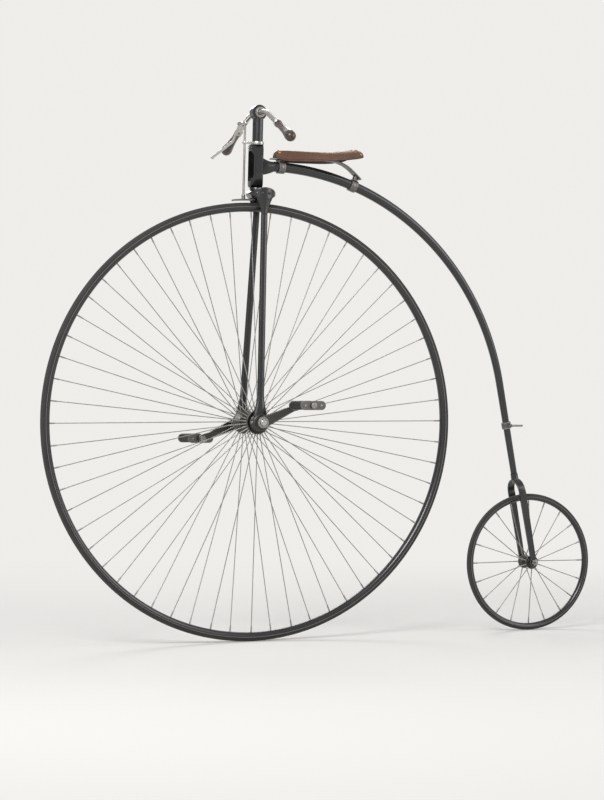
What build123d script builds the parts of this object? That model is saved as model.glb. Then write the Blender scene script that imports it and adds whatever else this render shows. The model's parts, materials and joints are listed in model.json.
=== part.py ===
from build123d import *
from math import atan2, cos, degrees, radians, sin, sqrt
import os

# High-wheel bicycle with a solid-tyred driving wheel and a small trailing wheel.
# Millimetres. It heads towards -X, its left side faces -Y and +Z is up.
# Pieces are laid out with the floor at z = 0 and the big axle at x = 0, then moved
# so that the origin is on top of the saddle.

# Clearances
seat_gap = 0.2
running_gap = 0.15
tyre_clearance = 9.0

# Big wheel
big_radius = 635.0
big_tyre_section = 11.0
big_rim_section = 13.5
big_rim_shift = 2.5
big_rim_lip = 1.0
big_spokes_per_side = 30
big_spoke_radius = 1.3
big_flange_radius = 35.0
big_flange_width = 7.0
big_flange_spacing = 104.0
big_barrel_radius = 19.0
big_axle_radius = 9.0

# Small wheel
small_radius = 206.5
small_tyre_section = 8.5
small_rim_section = 10.5
small_rim_shift = 1.5
small_rim_lip = 1.0
small_spokes_per_side = 10
small_spoke_radius = 1.3
small_flange_radius = 21.0
small_flange_width = 5.0
small_flange_spacing = 48.0
small_barrel_radius = 11.0
small_axle_radius = 5.0

# Hub profile, shared by both wheels
hub_waist_rise = 1.0
hub_waist_share = 0.35
hub_swell_share = 0.8
flange_bevel = 3.0
flange_round = 1.5
flange_dish = 7.0
flange_collar = 4.0

# Layout
wheelbase = 905.0
rake = 1.5

# Bearings, cranks and pedals
bearing_inset = 5.5
bearing_length = 22.0
bearing_radius = 25.0
bearing_chamfer = 4.0
crank_gap = 3.0
crank_length = 125.0
crank_angle = 23.0
crank_thickness = 13.0
crank_boss_radius = 17.0
crank_waist_radius = 8.5
crank_eye_radius = 12.0
crank_waist_reach = 26.0
axle_nut_radius = 9.5
axle_nut_length = 7.0
axle_nut_recess = 2.0
pedal_pin_radius = 6.0
pin_shoulder_rise = 3.0
pin_shoulder_length = 3.0
pin_cap_rise = 2.5
pedal_width = 88.0
pedal_reach = 78.0
pedal_depth = 26.0
pedal_plate_thickness = 4.0
pedal_barrel_radius = 10.0
pedal_gap = 5.0
pedal_rod_offset = 25.0
pedal_block_width = 20.0
pedal_block_depth = 22.0
pedal_block_corner = 4.0
pedal_cap_length = 4.0

# Fork
blade_top_y = 31.0
blade_width_top = 20.0
blade_width_low = 21.0
blade_width_foot = 46.0
blade_thickness = 13.0
blade_foot_thickness = 17.0
blade_flare_height = 90.0
crown_leg_length = 44.0
crown_length = 86.0
crown_offset = 14.0
crown_width = 84.0
crown_depth = 34.0
crown_boss_radius = 20.0
crown_boss_height = 6.0
crown_leg_share = 0.66
crown_leg_swell = 2.5

# Open head and its centre spindle
head_window_height = 88.0
head_window_half = 24.0
head_wall = 7.0
head_boss_height = 18.0
head_front = 23.0
head_rear = 15.0
head_plan_half = 36.0
spindle_radius = 9.0
spindle_journal_radius = 6.0
spindle_journal_length = 12.0
spindle_cone_height = 5.0
spindle_well_gap = 2.0
spindle_well_depth = 1.0
collar_radius = 18.5
collar_height = 9.0
collar_arm_width = 9.0
collar_arm_height = 6.0
collar_eye_radius = 7.0
column_radius = 15.5
column_length = 84.4
lug_radius = 22.0
lug_length = 32.0
lug_edge = 6.0

# Handlebar and grips
bar_radius = 7.5
bar_flat_half = 30.0
bar_bend_radius = 120.0
bar_slope = 25.0
bar_half_width = 262.0
grip_length = 128.0
grip_neck_radius = 10.0
grip_bulb_radius = 16.0
grip_end_wall = 8.0
grip_ferrule_length = 8.0
grip_ferrule_rise = 1.5

# Spoon brake
brake_offset = 40.0
brake_rod_radius = 3.2
brake_rod_play = 0.3
rod_end_radius = 5.5
rod_end_length = 8.0
lever_drop = 32.0
lever_pivot_y = 36.0
lever_knee_y = 96.0
lever_knee_drop = 78.0
lever_tip_y = 258.0
lever_tip_drop = 112.0
lever_bend = 28.0
lever_section = 4.5
lever_flattening = 1.2
lever_tip_rise = 0.5
lever_eye_radius = 7.0
lever_eye_width = 8.0
lever_pivot_radius = 6.5
lever_pivot_length = 9.0
lever_run_on = 6.0
bracket_width = 12.0
bracket_wall = 4.5
bracket_gap = 1.5
bracket_ear_radius = 4.5
bracket_foot_radius = 6.0
bracket_foot_length = 8.0
spoon_clearance = 6.0
spoon_thickness = 4.0
spoon_length = 62.0
spoon_half_width = 14.0
spoon_boss_length = 7.0

# Backbone, neck and rear fork
backbone_centre_x = 55.0
backbone_centre_z = 611.0
backbone_radius = 765.0
backbone_start_radius = 15.0
backbone_middle_radius = 11.0
backbone_end_radius = 9.5
neck_reach = 52.0
neck_half_thickness = 5.5
neck_web_height = 56.0
rear_arch_thickness = 8.0
rear_arch_corner = 2.5
rear_socket_height = 17.0
rear_socket_start = 0.72
rear_socket_foot = 0.60
rear_socket_wall = 1.5
rear_blade_inset = 6.0
rear_blade_thickness = 7.0
rear_blade_width_top = 22.0
rear_blade_width_low = 17.0
rear_eye_radius = 13.0
rear_nut_radius = 9.5
rear_nut_length = 8.0
rear_stub_radius = 4.0
rear_stub_length = 8.0
rear_relief_radius = 3.4
rear_relief_length = 1.0

# Saddle, its spring and the step
spring_thickness = 4.0
spring_width = 30.0
spring_front_x = 64.0
spring_flat_end_x = 245.0
spring_bend_radius = 110.0
spring_bend_angle = 43.0
spring_tail = 34.0
clip_length = 20.0
clip_wall = 4.0
clip_front_inset = 22.0
clip_boss_width = 22.0
clip_boss_height = 2.5
clip_post_radius = 8.0
clip_post_length = 24.0
clip_post_share = 0.45
saddle_nose_x = 72.0
saddle_length = 262.0
saddle_half_width = 78.0
saddle_thickness = 22.0
saddle_edge = 5.0
saddle_wall = 12.0
saddle_seat_share = 0.62
step_distance = 420.0
step_reach = 62.0
step_plate_width = 34.0
step_plate_length = 26.0
step_plate_thickness = 6.0
step_teeth = 5
step_tooth_width = 3.0
step_arm_radius = 5.0

# Places that follow from the sizes
big_hub = Location((0, 0, big_radius))
small_hub = Location((wheelbase, 0, small_radius))
steering = Location((0, 0, big_radius), (0, rake, 0))
bearing_y = big_flange_spacing / 2 + big_flange_width / 2 + bearing_inset + bearing_length / 2
crank_y = bearing_y + bearing_length / 2 + crank_gap + crank_thickness / 2
crown_low = big_radius + tyre_clearance
crown_top = crown_low + crown_depth
head_low = crown_top + seat_gap
window_low = head_low + head_boss_height
window_top = window_low + head_window_height
head_top = window_top + head_boss_height
neck_height = (window_low + window_top) / 2
collar_low = head_top + seat_gap
column_low = collar_low + collar_height + seat_gap
bar_height = column_low + column_length
blade_top = crown_low - crown_leg_length
spoon_back = sqrt((big_radius + spoon_clearance + spoon_thickness) ** 2 - brake_offset**2)
rear_blade_y = small_flange_spacing / 2 + small_flange_width / 2 + rear_blade_inset + rear_blade_thickness / 2
rear_arch_low = small_radius + tyre_clearance
rear_fork_length = rear_arch_low + rear_blade_y + rear_arch_thickness / 2 + rear_socket_height
rear_nut_y = rear_blade_y + rear_blade_thickness / 2 + seat_gap + rear_nut_length / 2
rear_shoulder_y = rear_nut_y + rear_nut_length / 2 + 1
rear_stub_y = rear_shoulder_y + rear_relief_length
rear_axle_half = rear_stub_y + rear_stub_length
saddle_mount_x = saddle_nose_x + saddle_length * saddle_seat_share

# The backbone's arc starts at the neck and ends where its tangent meets the small axle.
axle_from_arc_x = wheelbase - backbone_centre_x
axle_from_arc_z = small_radius - backbone_centre_z
axle_from_arc = sqrt(axle_from_arc_x**2 + axle_from_arc_z**2)
tangent_length = sqrt(axle_from_arc**2 - backbone_radius**2)
arc_end = degrees(atan2(axle_from_arc_z, axle_from_arc_x) + atan2(tangent_length, backbone_radius))
neck_foot = steering * Location((neck_reach, 0, neck_height))
neck_foot_x = neck_foot.position.X - backbone_centre_x
arc_start = degrees(atan2(sqrt(backbone_radius**2 - neck_foot_x**2), neck_foot_x))
rear_line = Location((wheelbase, 0, small_radius), (0, -arc_end, 0))
clip_front_angle = arc_start - degrees(clip_front_inset / backbone_radius)
clip_top = (
    backbone_centre_z
    + (backbone_radius + backbone_start_radius + clip_wall) * sin(radians(clip_front_angle))
    + clip_boss_height
)
spring_height = clip_top + seat_gap + spring_thickness / 2
saddle_low = spring_height + spring_thickness / 2 + seat_gap
saddle_mount_z = saddle_low + saddle_thickness


def arc_point(angle, offset=0.0):
    """A point on the backbone's arc, the angle measured up from +X."""
    reach = backbone_radius + offset
    return Vector(
        backbone_centre_x + reach * cos(radians(angle)),
        0,
        backbone_centre_z + reach * sin(radians(angle)),
    )


def arc_location(angle):
    """A frame on the arc whose Z runs down the backbone and whose X points outwards."""
    outward = Vector(cos(radians(angle)), 0, sin(radians(angle)))
    along = Vector(sin(radians(angle)), 0, -cos(radians(angle)))
    return Plane(origin=arc_point(angle), x_dir=outward, z_dir=along).location


def turned(profile):
    """Revolve a profile of (radius, height) about the local Z axis."""
    return revolve(Plane.XZ * profile, Axis.Z)


def across(shape, y=0.0):
    """Lay a piece made along local Z across the machine, its top towards +Y."""
    return Pos(0, y, 0) * Rot(-90, 0, 0) * shape


def pin(radius, start, end):
    """A round bar between two points."""
    line = Vector(*end) - Vector(*start)
    base = Plane(origin=start, z_dir=line)
    return extrude(base * Circle(radius), line.length)


# Wheels
def tyre(radius, section):
    return across(Torus(radius - section, section))


def rim(radius, section, rim_section, shift, lip):
    line = radius - section
    crescent = Pos(line - shift, 0) * Circle(rim_section) - Pos(line, 0) * Circle(section + seat_gap)
    crescent -= Pos(line - lip + rim_section, 0) * Rectangle(2 * rim_section, 4 * rim_section)
    return across(turned(crescent))


def hub(flange_radius, flange_width, spacing, barrel_radius, bore):
    """A waisted barrel between two flanges, bored for its axle."""
    inner = spacing / 2 - flange_width / 2
    outer = spacing / 2 + flange_width / 2
    waist_radius = (barrel_radius + bore) / 2 + hub_waist_rise
    half = Polyline(
        (bore, 0),
        (waist_radius, 0),
        (waist_radius, inner * hub_waist_share),
        (barrel_radius, inner * hub_swell_share),
        (flange_radius - flange_bevel, inner),
        (flange_radius, inner + flange_round),
        (flange_radius, outer - flange_round),
        (flange_radius - flange_bevel, outer),
        (flange_radius - flange_dish, outer - flange_round),
        (barrel_radius + flange_collar, outer - flange_round),
        (barrel_radius + flange_collar - 1, outer),
        (bore, outer),
        (bore, 0),
    )
    side = turned(make_face(half))
    return across(side + mirror(side, Plane.XY))


def spokes(count, spoke_radius, flange_radius, spacing, rim_radius):
    """Straight radial spokes, staggered by half a step between the two flanges."""
    made = []
    for side, stagger in ((-1, 0.0), (1, 0.5)):
        for index in range(count):
            angle = 360.0 * (index + stagger) / count
            start = (0, side * spacing / 2, flange_radius + seat_gap)
            end = (0, side * 2 * spoke_radius, rim_radius - seat_gap)
            made.append(Rot(0, angle, 0) * pin(spoke_radius, start, end))
    return Compound(children=made)


def rim_floor(radius, section, rim_section, shift):
    """The radius of a rim's inner face, where the spokes end."""
    return radius - section - shift - rim_section


# Big wheel's axle, cranks and pedals
def big_axle():
    half = crank_y + crank_thickness / 2 + 1
    return across(Cylinder(big_axle_radius, 2 * half))


def crank(side):
    """A tapered forging with a boss on the axle and an eye for the pedal pin."""
    waist = crank_length - crank_waist_reach
    outline = make_hull(
        [*Circle(crank_boss_radius).edges(), *(Pos(waist, 0) * Circle(crank_waist_radius)).edges()]
    )
    outline += make_hull(
        [
            *(Pos(waist, 0) * Circle(crank_waist_radius)).edges(),
            *(Pos(crank_length, 0) * Circle(crank_eye_radius)).edges(),
        ]
    )
    outline -= Circle(big_axle_radius + seat_gap)
    outline -= Pos(crank_length, 0) * Circle(pedal_pin_radius + seat_gap)
    body = extrude(Plane.XZ * outline, crank_thickness / 2, both=True)
    return crank_place(side) * body


def crank_place(side):
    """The frame at a crank's boss, its X along the crank."""
    tilt = -crank_angle if side < 0 else 180.0 - crank_angle
    return Pos(0, side * crank_y, 0) * Rot(0, tilt, 0)


def axle_nut(side):
    start = side * (crank_y + crank_thickness / 2 + seat_gap)
    cap = Cylinder(axle_nut_radius, axle_nut_length) - Pos(0, 0, -axle_nut_length / 2) * Cylinder(
        big_axle_radius - axle_nut_recess, axle_nut_recess
    )
    return across(cap, start + side * (axle_nut_length / 2 + 1))


def pedal_pin(side):
    """The pin through the crank's eye that carries the pedal, with a shoulder each side of it."""
    half = crank_thickness / 2
    reach = half + pedal_gap + pedal_width + pedal_cap_length
    body = Pos(0, side * (reach - half - 2) / 2, 0) * across(Cylinder(pedal_pin_radius, reach + half + 2))
    flange = Cylinder(pedal_pin_radius + pin_shoulder_rise, pin_shoulder_length)
    flange_y = half + seat_gap + pin_shoulder_length / 2
    shoulder = across(flange, side * flange_y)
    back = across(flange, -side * flange_y)
    end = Cylinder(pedal_pin_radius + pin_cap_rise, pedal_cap_length)
    cap = across(end, side * (reach + pedal_cap_length / 2))
    return crank_place(side) * Pos(crank_length, 0, 0) * (body + shoulder + back + cap)


def pedal_place(side):
    """The middle of a pedal, level at rest."""
    eye = crank_place(side) * Location((crank_length, 0, 0))
    middle = side * (crank_thickness / 2 + pedal_gap + pedal_width / 2)
    return Pos(eye.position.X, eye.position.Y + middle, eye.position.Z)


def pedal_frame(side):
    """A barrel that turns on the pin, and two end plates."""
    inner_half = pedal_width / 2 - pedal_plate_thickness
    barrel = across(Cylinder(pedal_barrel_radius, 2 * inner_half))
    plates = []
    for end in (-1, 1):
        plate = extrude(
            Plane.XZ * SlotOverall(pedal_reach, pedal_depth), pedal_plate_thickness / 2, both=True
        )
        plates.append(Pos(0, end * (pedal_width - pedal_plate_thickness) / 2, 0) * plate)
    body = barrel + plates[0] + plates[1] - across(Cylinder(pedal_pin_radius + running_gap, 2 * pedal_width))
    return pedal_place(side) * body


def pedal_rubbers(side):
    """Two ribbed rubber blocks between the end plates."""
    length = pedal_width - 2 * pedal_plate_thickness - 2 * seat_gap
    made = []
    for end in (-1, 1):
        section = RectangleRounded(pedal_block_width, pedal_block_depth, pedal_block_corner)
        block = Rot(90, 0, 0) * extrude(section, length / 2, both=True)
        made.append(pedal_place(side) * Pos(end * pedal_rod_offset, 0, 0) * block)
    return Compound(children=made)


# Fork, all in the steering frame: local Z is the steering axis from the big axle upwards
def blade_y(height):
    """Distance of a blade's middle from the wheel's plane at a height on the steering axis."""
    return bearing_y + (blade_top_y - bearing_y) * height / blade_top


def blade_section(height, width, thickness, side):
    lean_x = crown_offset * height / blade_top
    return Pos(lean_x, side * blade_y(height), height) * Ellipse(width / 2, thickness / 2)


def fork_blade(side):
    """A slim oval blade whose foot flares on to the bearing case."""
    shaft = loft(
        [
            blade_section(blade_flare_height, blade_width_low, blade_thickness, side),
            blade_section(blade_top - seat_gap, blade_width_top, blade_thickness, side),
        ]
    )
    foot_mix = (
        (0.06, 1.0),
        (0.26, 0.86),
        (0.60, 0.22),
        (1.0, 0.0),
    )
    sections = []
    for share, flare in foot_mix:
        width = blade_width_low + (blade_width_foot - blade_width_low) * flare
        thickness = blade_thickness + (blade_foot_thickness - blade_thickness) * flare
        sections.append(blade_section(blade_flare_height * share, width, thickness, side))
    foot = loft(sections)
    case = across(Cylinder(bearing_radius + seat_gap, 4 * bearing_length), side * bearing_y)
    return steering * (shaft + foot - case)


def bearing_case(side):
    """The round case at a blade's foot that holds the big axle's bearing."""
    half = bearing_length / 2
    profile = Polyline(
        (big_axle_radius + running_gap, -half),
        (bearing_radius - bearing_chamfer, -half),
        (bearing_radius, -half + bearing_chamfer),
        (bearing_radius, half - bearing_chamfer),
        (bearing_radius - bearing_chamfer, half),
        (big_axle_radius + running_gap, half),
        (big_axle_radius + running_gap, -half),
    )
    return steering * across(turned(make_face(profile)), side * bearing_y)


def fork_crown():
    """An almond shaped crown over the tyre, with a flared shoulder down to each blade."""
    half = crown_length / 2
    middle = crown_low + crown_depth / 2
    almond = make_face(
        ThreePointArc((-half, middle), (0, crown_top), (half, middle))
        + ThreePointArc((half, middle), (0, crown_low), (-half, middle))
    )
    cap = extrude(Plane.XZ * almond, crown_width / 2, both=True)
    cap &= extrude(Ellipse(half, crown_width / 2), 2 * crown_top)
    cap = Pos(crown_offset, 0, 0) * cap
    boss_low = crown_top - crown_boss_height
    cap += Pos(0, 0, boss_low) * extrude(Circle(crown_boss_radius), crown_boss_height)
    leg_mix = (
        (blade_top, 0.0),
        (blade_top + crown_leg_length * 0.40, 0.10),
        (blade_top + crown_leg_length * 0.80, 0.48),
        (middle, 1.0),
    )
    for side in (-1, 1):
        sections = []
        for height, flare in leg_mix:
            width = blade_width_top + (crown_length * crown_leg_share - blade_width_top) * flare
            thickness = blade_thickness + crown_leg_swell * flare
            place = Pos(crown_offset, side * blade_top_y, height)
            sections.append(place * Ellipse(width / 2, thickness / 2))
        cap += loft(sections)
    well = Pos(0, 0, crown_top) * Cylinder(spindle_journal_radius + spindle_well_gap, 2 * spindle_well_depth)
    return steering * (cap - well)


def head():
    """The open head: two cheeks between a lower and an upper boss, standing on the crown."""
    low_arc = window_low + head_window_half
    high_arc = window_top - head_window_half
    outer = head_window_half + head_wall
    outline = make_hull(
        [
            *(Pos(0, head_low + crown_boss_radius) * Circle(crown_boss_radius)).edges(),
            *(Pos(0, low_arc) * Circle(outer)).edges(),
            *(Pos(0, high_arc) * Circle(outer)).edges(),
            *(Pos(0, head_top - column_radius) * Circle(column_radius + 2)).edges(),
        ]
    )
    outline &= Pos(0, (head_low + head_top) / 2) * Rectangle(4 * outer, head_top - head_low)
    window = Pos(0, (window_low + window_top) / 2) * Rot(0, 0, 90) * SlotOverall(
        head_window_height, 2 * head_window_half
    )
    face = Plane(origin=(head_rear, 0, 0), x_dir=(0, 1, 0), z_dir=(1, 0, 0)) * (outline - window)
    body = extrude(face, -(head_front + head_rear))
    plan = Pos((head_rear - head_front) / 2, 0) * Ellipse((head_front + head_rear) / 2, head_plan_half)
    body &= extrude(plan, head_top + 1)
    journal = Pos(0, 0, neck_height) * Cylinder(spindle_journal_radius + running_gap, head_top - head_low - 8)
    return steering * (body - journal)


def collar():
    """The clamping ring on top of the head, with an eye in front that guides the brake rod."""
    ring = Pos(0, 0, collar_low + collar_height / 2) * Cylinder(collar_radius, collar_height)
    arm = Pos(-brake_offset / 2, 0, collar_low + collar_height / 2)
    arm *= Box(brake_offset, collar_arm_width, collar_arm_height)
    eye = Pos(-brake_offset, 0, collar_low + collar_height / 2)
    eye *= Cylinder(collar_eye_radius, collar_arm_height)
    hole = Pos(-brake_offset, 0, collar_low) * Cylinder(brake_rod_radius + brake_rod_play, 4 * collar_height)
    return steering * (ring + arm + eye - hole)


def column():
    """The round column above the head, with the ring lug that holds the handlebar."""
    stem = extrude(Pos(0, 0, column_low) * Circle(column_radius), bar_height - column_low)
    ring = across(Cylinder(lug_radius, lug_length - lug_edge))
    ring += across(Cylinder(lug_radius - lug_edge, lug_length))
    bore = across(Cylinder(bar_radius + seat_gap, 4 * lug_length))
    return steering * (stem + Pos(0, 0, bar_height) * ring - Pos(0, 0, bar_height) * bore)


# Handlebar: flat through the lug, then a wide bend down to the grips
bar_corner = bar_flat_half + bar_bend_radius * sin(radians(bar_slope)) / (1 + cos(radians(bar_slope)))


def bar_line_height(y):
    """Height of the bar's straight outer run below its middle."""
    return -(y - bar_corner) * sin(radians(bar_slope)) / cos(radians(bar_slope))


def handlebar():
    bar_end = bar_half_width - grip_end_wall
    corners = [
        (0, -bar_end, bar_line_height(bar_end)),
        (0, -bar_corner, 0),
        (0, bar_corner, 0),
        (0, bar_end, bar_line_height(bar_end)),
    ]
    path = FilletPolyline(*corners, radius=bar_bend_radius)
    section = Plane(origin=path @ 0, z_dir=path % 0) * Circle(bar_radius)
    return steering * Pos(0, 0, bar_height) * sweep(section, path=path)


def grip(side):
    """A pear shaped handle, thick at its outer end."""
    bulb = grip_length - grip_bulb_radius
    bore = bar_radius + seat_gap
    ferrule = grip_neck_radius + grip_ferrule_rise
    diagonal = grip_bulb_radius * sqrt(0.5)
    outline = make_face(
        Polyline((0, grip_length), (0, grip_length - grip_end_wall), (bore, grip_length - grip_end_wall))
        + Line((bore, grip_length - grip_end_wall), (bore, 0))
        + Polyline((bore, 0), (ferrule, 0), (ferrule, grip_ferrule_length))
        + Line((ferrule, grip_ferrule_length), (grip_neck_radius, grip_ferrule_length))
        + ThreePointArc(
            (grip_neck_radius, grip_ferrule_length),
            (grip_neck_radius + grip_ferrule_rise, bulb / 2),
            (grip_bulb_radius, bulb),
        )
        + ThreePointArc((grip_bulb_radius, bulb), (diagonal, bulb + diagonal), (0, grip_length))
    )
    body = turned(outline)
    slope = radians(bar_slope)
    start_y = bar_half_width - grip_length * cos(slope)
    start = Vector(0, side * start_y, bar_height + bar_line_height(start_y))
    outward = Vector(0, side * cos(slope), -sin(slope))
    return steering * Plane(origin=start, z_dir=outward).location * body


# Spoon brake: a lever in front of the right grip, a rod and a spoon above the tyre
def brake_lever():
    """An oval lever with an eye over the rod and its pivot beside the lug."""
    corners = [
        (-brake_offset, 0, -lever_drop),
        (-brake_offset, lever_pivot_y + lever_run_on, -lever_drop),
        (-brake_offset, lever_knee_y, -lever_knee_drop),
        (-brake_offset, lever_tip_y, -lever_tip_drop),
    ]
    path = FilletPolyline(*corners, radius=lever_bend)
    section = Plane(origin=path @ 0, x_dir=(1, 0, 0), z_dir=path % 0) * Ellipse(
        lever_section - lever_flattening, lever_section
    )
    arm = sweep(section, path=path)
    tip = Pos(*corners[-1]) * Sphere(lever_section + lever_tip_rise)
    eye = Pos(-brake_offset, 0, -lever_drop) * Rot(0, 90, 0)
    eye *= Cylinder(lever_eye_radius, lever_eye_width)
    pivot = Pos(-brake_offset, lever_pivot_y, -lever_drop) * Rot(0, 90, 0)
    pivot *= Cylinder(lever_pivot_radius, lever_pivot_length)
    return steering * Pos(0, 0, bar_height) * (arm + tip + eye + pivot)


def brake_bracket():
    """A clamp on the bar that reaches forward to the lever's pivot."""
    ring_y = lug_length / 2 + bracket_gap + bracket_width / 2
    ring = across(Cylinder(bar_radius + bracket_wall, bracket_width), ring_y)
    foot_x = -(brake_offset - lever_pivot_length / 2 - seat_gap - bracket_foot_length / 2)
    ear_start = (-(bar_radius + bracket_wall / 2), ring_y, -bracket_wall / 2)
    ear_end = (foot_x, lever_pivot_y, -lever_drop)
    ear = pin(bracket_ear_radius, ear_start, ear_end)
    foot = Pos(*ear_end) * Rot(0, 90, 0) * Cylinder(bracket_foot_radius, bracket_foot_length)
    clear = across(Cylinder(bar_radius + seat_gap, 4 * bracket_width), ring_y)
    return steering * Pos(0, 0, bar_height) * (ring + ear + foot - clear)


def brake_rod():
    low = spoon_back + rod_end_radius
    high = bar_height - lever_drop - lever_eye_radius - seat_gap
    rod = pin(brake_rod_radius, (-brake_offset, 0, low), (-brake_offset, 0, high))
    fork_end = Pos(-brake_offset, 0, low + rod_end_length / 2) * Cylinder(rod_end_radius, rod_end_length)
    return steering * (rod + fork_end)


def brake_spoon():
    """A shoe curved to the tyre, hung from a tail that hooks on to the crown."""
    inner = big_radius + spoon_clearance
    outer = inner + spoon_thickness
    section = Pos((inner + outer) / 2, 0) * Rectangle(spoon_thickness, 2 * spoon_half_width)
    arc = degrees(spoon_length / inner)
    middle = degrees(atan2(brake_offset, inner))
    shoe = revolve(Plane.XY * section, Axis.Y, arc)
    place = Rot(0, -90 - middle - arc / 2, 0)
    boss = Pos(-brake_offset, 0, spoon_back + rod_end_radius - seat_gap - spoon_boss_length / 2)
    boss *= Cylinder(rod_end_radius, spoon_boss_length)
    return steering * (place * shoe + boss)


# Backbone, neck and rear fork
def backbone():
    """A steel tube that tapers along its arc and its straight tail."""
    top = arc_location(arc_start)
    end = arc_location(arc_end)
    path = CenterArc(
        (backbone_centre_x, backbone_centre_z), backbone_radius, arc_start, arc_end - arc_start
    )
    path = Plane(origin=(0, 0, 0), x_dir=(1, 0, 0), z_dir=(0, -1, 0)) * path
    curve = sweep(
        [top * Circle(backbone_start_radius), end * Circle(backbone_middle_radius)],
        path=path,
        multisection=True,
    )
    tail_low = Location((0, 0, rear_fork_length))
    tail_high = Location((0, 0, tangent_length))
    tail = loft(
        [
            rear_line * tail_low * Circle(backbone_end_radius),
            rear_line * tail_high * Circle(backbone_middle_radius),
        ]
    )
    return curve + tail


def neck():
    """A forging that joins the backbone to the centre spindle in the open head."""
    rise = head_window_half - sqrt(head_window_half**2 - spindle_journal_radius**2) + seat_gap
    low = window_low + rise
    high = window_top - rise
    journal = spindle_journal_length
    spindle = turned(
        make_face(
            Polyline(
                (0, low - journal),
                (spindle_journal_radius, low - journal),
                (spindle_journal_radius, low),
                (spindle_radius, low + spindle_cone_height),
                (spindle_radius, high - spindle_cone_height),
                (spindle_journal_radius, high),
                (spindle_journal_radius, high + journal),
                (0, high + journal),
                (0, low - journal),
            )
        )
    )
    # Each row is the share of the reach, the web's height and its half thickness there.
    web = (
        (0.0, neck_web_height, neck_half_thickness),
        (0.55, neck_web_height * 0.75, neck_half_thickness * 1.15),
        (0.82, neck_web_height * 0.60, (neck_half_thickness + 2 * backbone_start_radius) / 3),
    )
    sections = []
    for share, height, half_thickness in web:
        place = Plane(origin=(share * neck_reach, 0, neck_height), x_dir=(0, 1, 0), z_dir=(1, 0, 0))
        sections.append(steering * (place * Ellipse(half_thickness, height / 2)))
    foot = arc_location(arc_start) * Location((0, 0, -seat_gap), (0, 0, 90))
    sections.append(foot * Ellipse(backbone_start_radius, backbone_start_radius - 0.01))
    return steering * spindle + loft(sections)


def rear_fork_crown():
    """The arch over the small tyre, with a flared socket for the backbone's foot."""
    strap = RectangleRounded(rear_blade_width_top, rear_arch_thickness, rear_arch_corner)
    strap = Pos(0, rear_blade_y) * strap
    arch = revolve(strap, Axis.X, 180)
    half = rear_arch_thickness / 2
    radius = backbone_end_radius + rear_socket_wall
    foot = Ellipse(rear_blade_width_top / 2 - 0.4, rear_socket_foot * rear_blade_y)
    waist = Ellipse(radius - 0.3, radius + 2)
    socket = loft(
        [
            Pos(0, 0, rear_socket_start * rear_blade_y) * foot,
            Pos(0, 0, rear_blade_y + half + 3) * waist,
            Pos(0, 0, rear_fork_length - seat_gap - rear_arch_low) * Circle(radius),
        ]
    )
    socket -= Rot(0, 90, 0) * Cylinder(rear_blade_y - half + 1.5, 4 * rear_blade_width_top)
    return rear_line * Pos(0, 0, rear_arch_low) * (arch + socket)


def rear_blade(side):
    """A flat blade from the arch down to the eye round the small axle."""
    top = rear_arch_low - seat_gap
    outline = make_face(
        Polyline(
            (-rear_blade_width_low / 2, 0),
            (-rear_blade_width_top / 2, top),
            (rear_blade_width_top / 2, top),
            (rear_blade_width_low / 2, 0),
            (-rear_blade_width_low / 2, 0),
        )
    )
    outline += Circle(rear_eye_radius)
    outline -= Circle(small_axle_radius + seat_gap)
    body = extrude(Plane.XZ * outline, rear_blade_thickness / 2, both=True)
    return rear_line * Pos(0, side * rear_blade_y, 0) * body


def rear_axle():
    """A round axle whose ends step down, past a relief groove, to plain stubs."""
    axle = across(Cylinder(small_axle_radius, 2 * rear_shoulder_y))
    axle += across(Cylinder(rear_relief_radius, 2 * rear_axle_half))
    for side in (-1, 1):
        stub = Cylinder(rear_stub_radius, rear_stub_length)
        axle += across(stub, side * (rear_stub_y + rear_stub_length / 2))
    return rear_line * axle


def rear_nuts():
    made = []
    for side in (-1, 1):
        nut = extrude(RegularPolygon(rear_nut_radius, 6), rear_nut_length / 2, both=True)
        nut -= Cylinder(small_axle_radius + seat_gap, 2 * rear_nut_length)
        made.append(rear_line * across(nut, side * rear_nut_y))
    return Compound(children=made)


# Saddle, spring and step
def spring_path():
    """The leaf's middle line: level from the neck, then bent down to the backbone."""
    bend = radians(spring_bend_angle)
    bend_end_x = spring_flat_end_x + spring_bend_radius * sin(bend)
    bend_end_z = spring_height - spring_bend_radius * (1 - cos(bend))
    tail_end = (bend_end_x + spring_tail * cos(bend), bend_end_z - spring_tail * sin(bend))
    start = (spring_front_x, spring_height)
    flat_end = (spring_flat_end_x, spring_height)
    bend_mid = (
        spring_flat_end_x + spring_bend_radius * sin(bend / 2),
        spring_height - spring_bend_radius * (1 - cos(bend / 2)),
    )
    return start, flat_end, bend_mid, (bend_end_x, bend_end_z), tail_end


def saddle_spring():
    start, flat_end, bend_mid, bend_end, tail_end = spring_path()
    path = Line(start, flat_end) + ThreePointArc(flat_end, bend_mid, bend_end) + Line(bend_end, tail_end)
    path = Plane(origin=(0, 0, 0), x_dir=(1, 0, 0), z_dir=(0, -1, 0)) * path
    section = Plane(origin=(spring_front_x, 0, spring_height), x_dir=(0, 1, 0), z_dir=(1, 0, 0))
    return sweep(section * Rectangle(spring_width, spring_thickness), path=path)


def clip_band(radius):
    """A plain ring for the backbone, along local Z."""
    return Cylinder(radius + clip_wall, clip_length) - Cylinder(radius + 2 * seat_gap, 2 * clip_length)


def saddle_clip_front():
    """The band behind the neck, with a flat boss that the leaf is bolted to."""
    angle = clip_front_angle
    band = arc_location(angle) * clip_band(backbone_start_radius)
    middle = arc_point(angle)
    boss = Pos(middle.X, 0, clip_top - clip_boss_width / 2)
    boss *= Box(clip_length, clip_boss_width, clip_boss_width)
    tube = arc_location(angle) * Cylinder(backbone_start_radius + 2 * seat_gap, 4 * clip_length)
    return band + (boss - tube)


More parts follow.
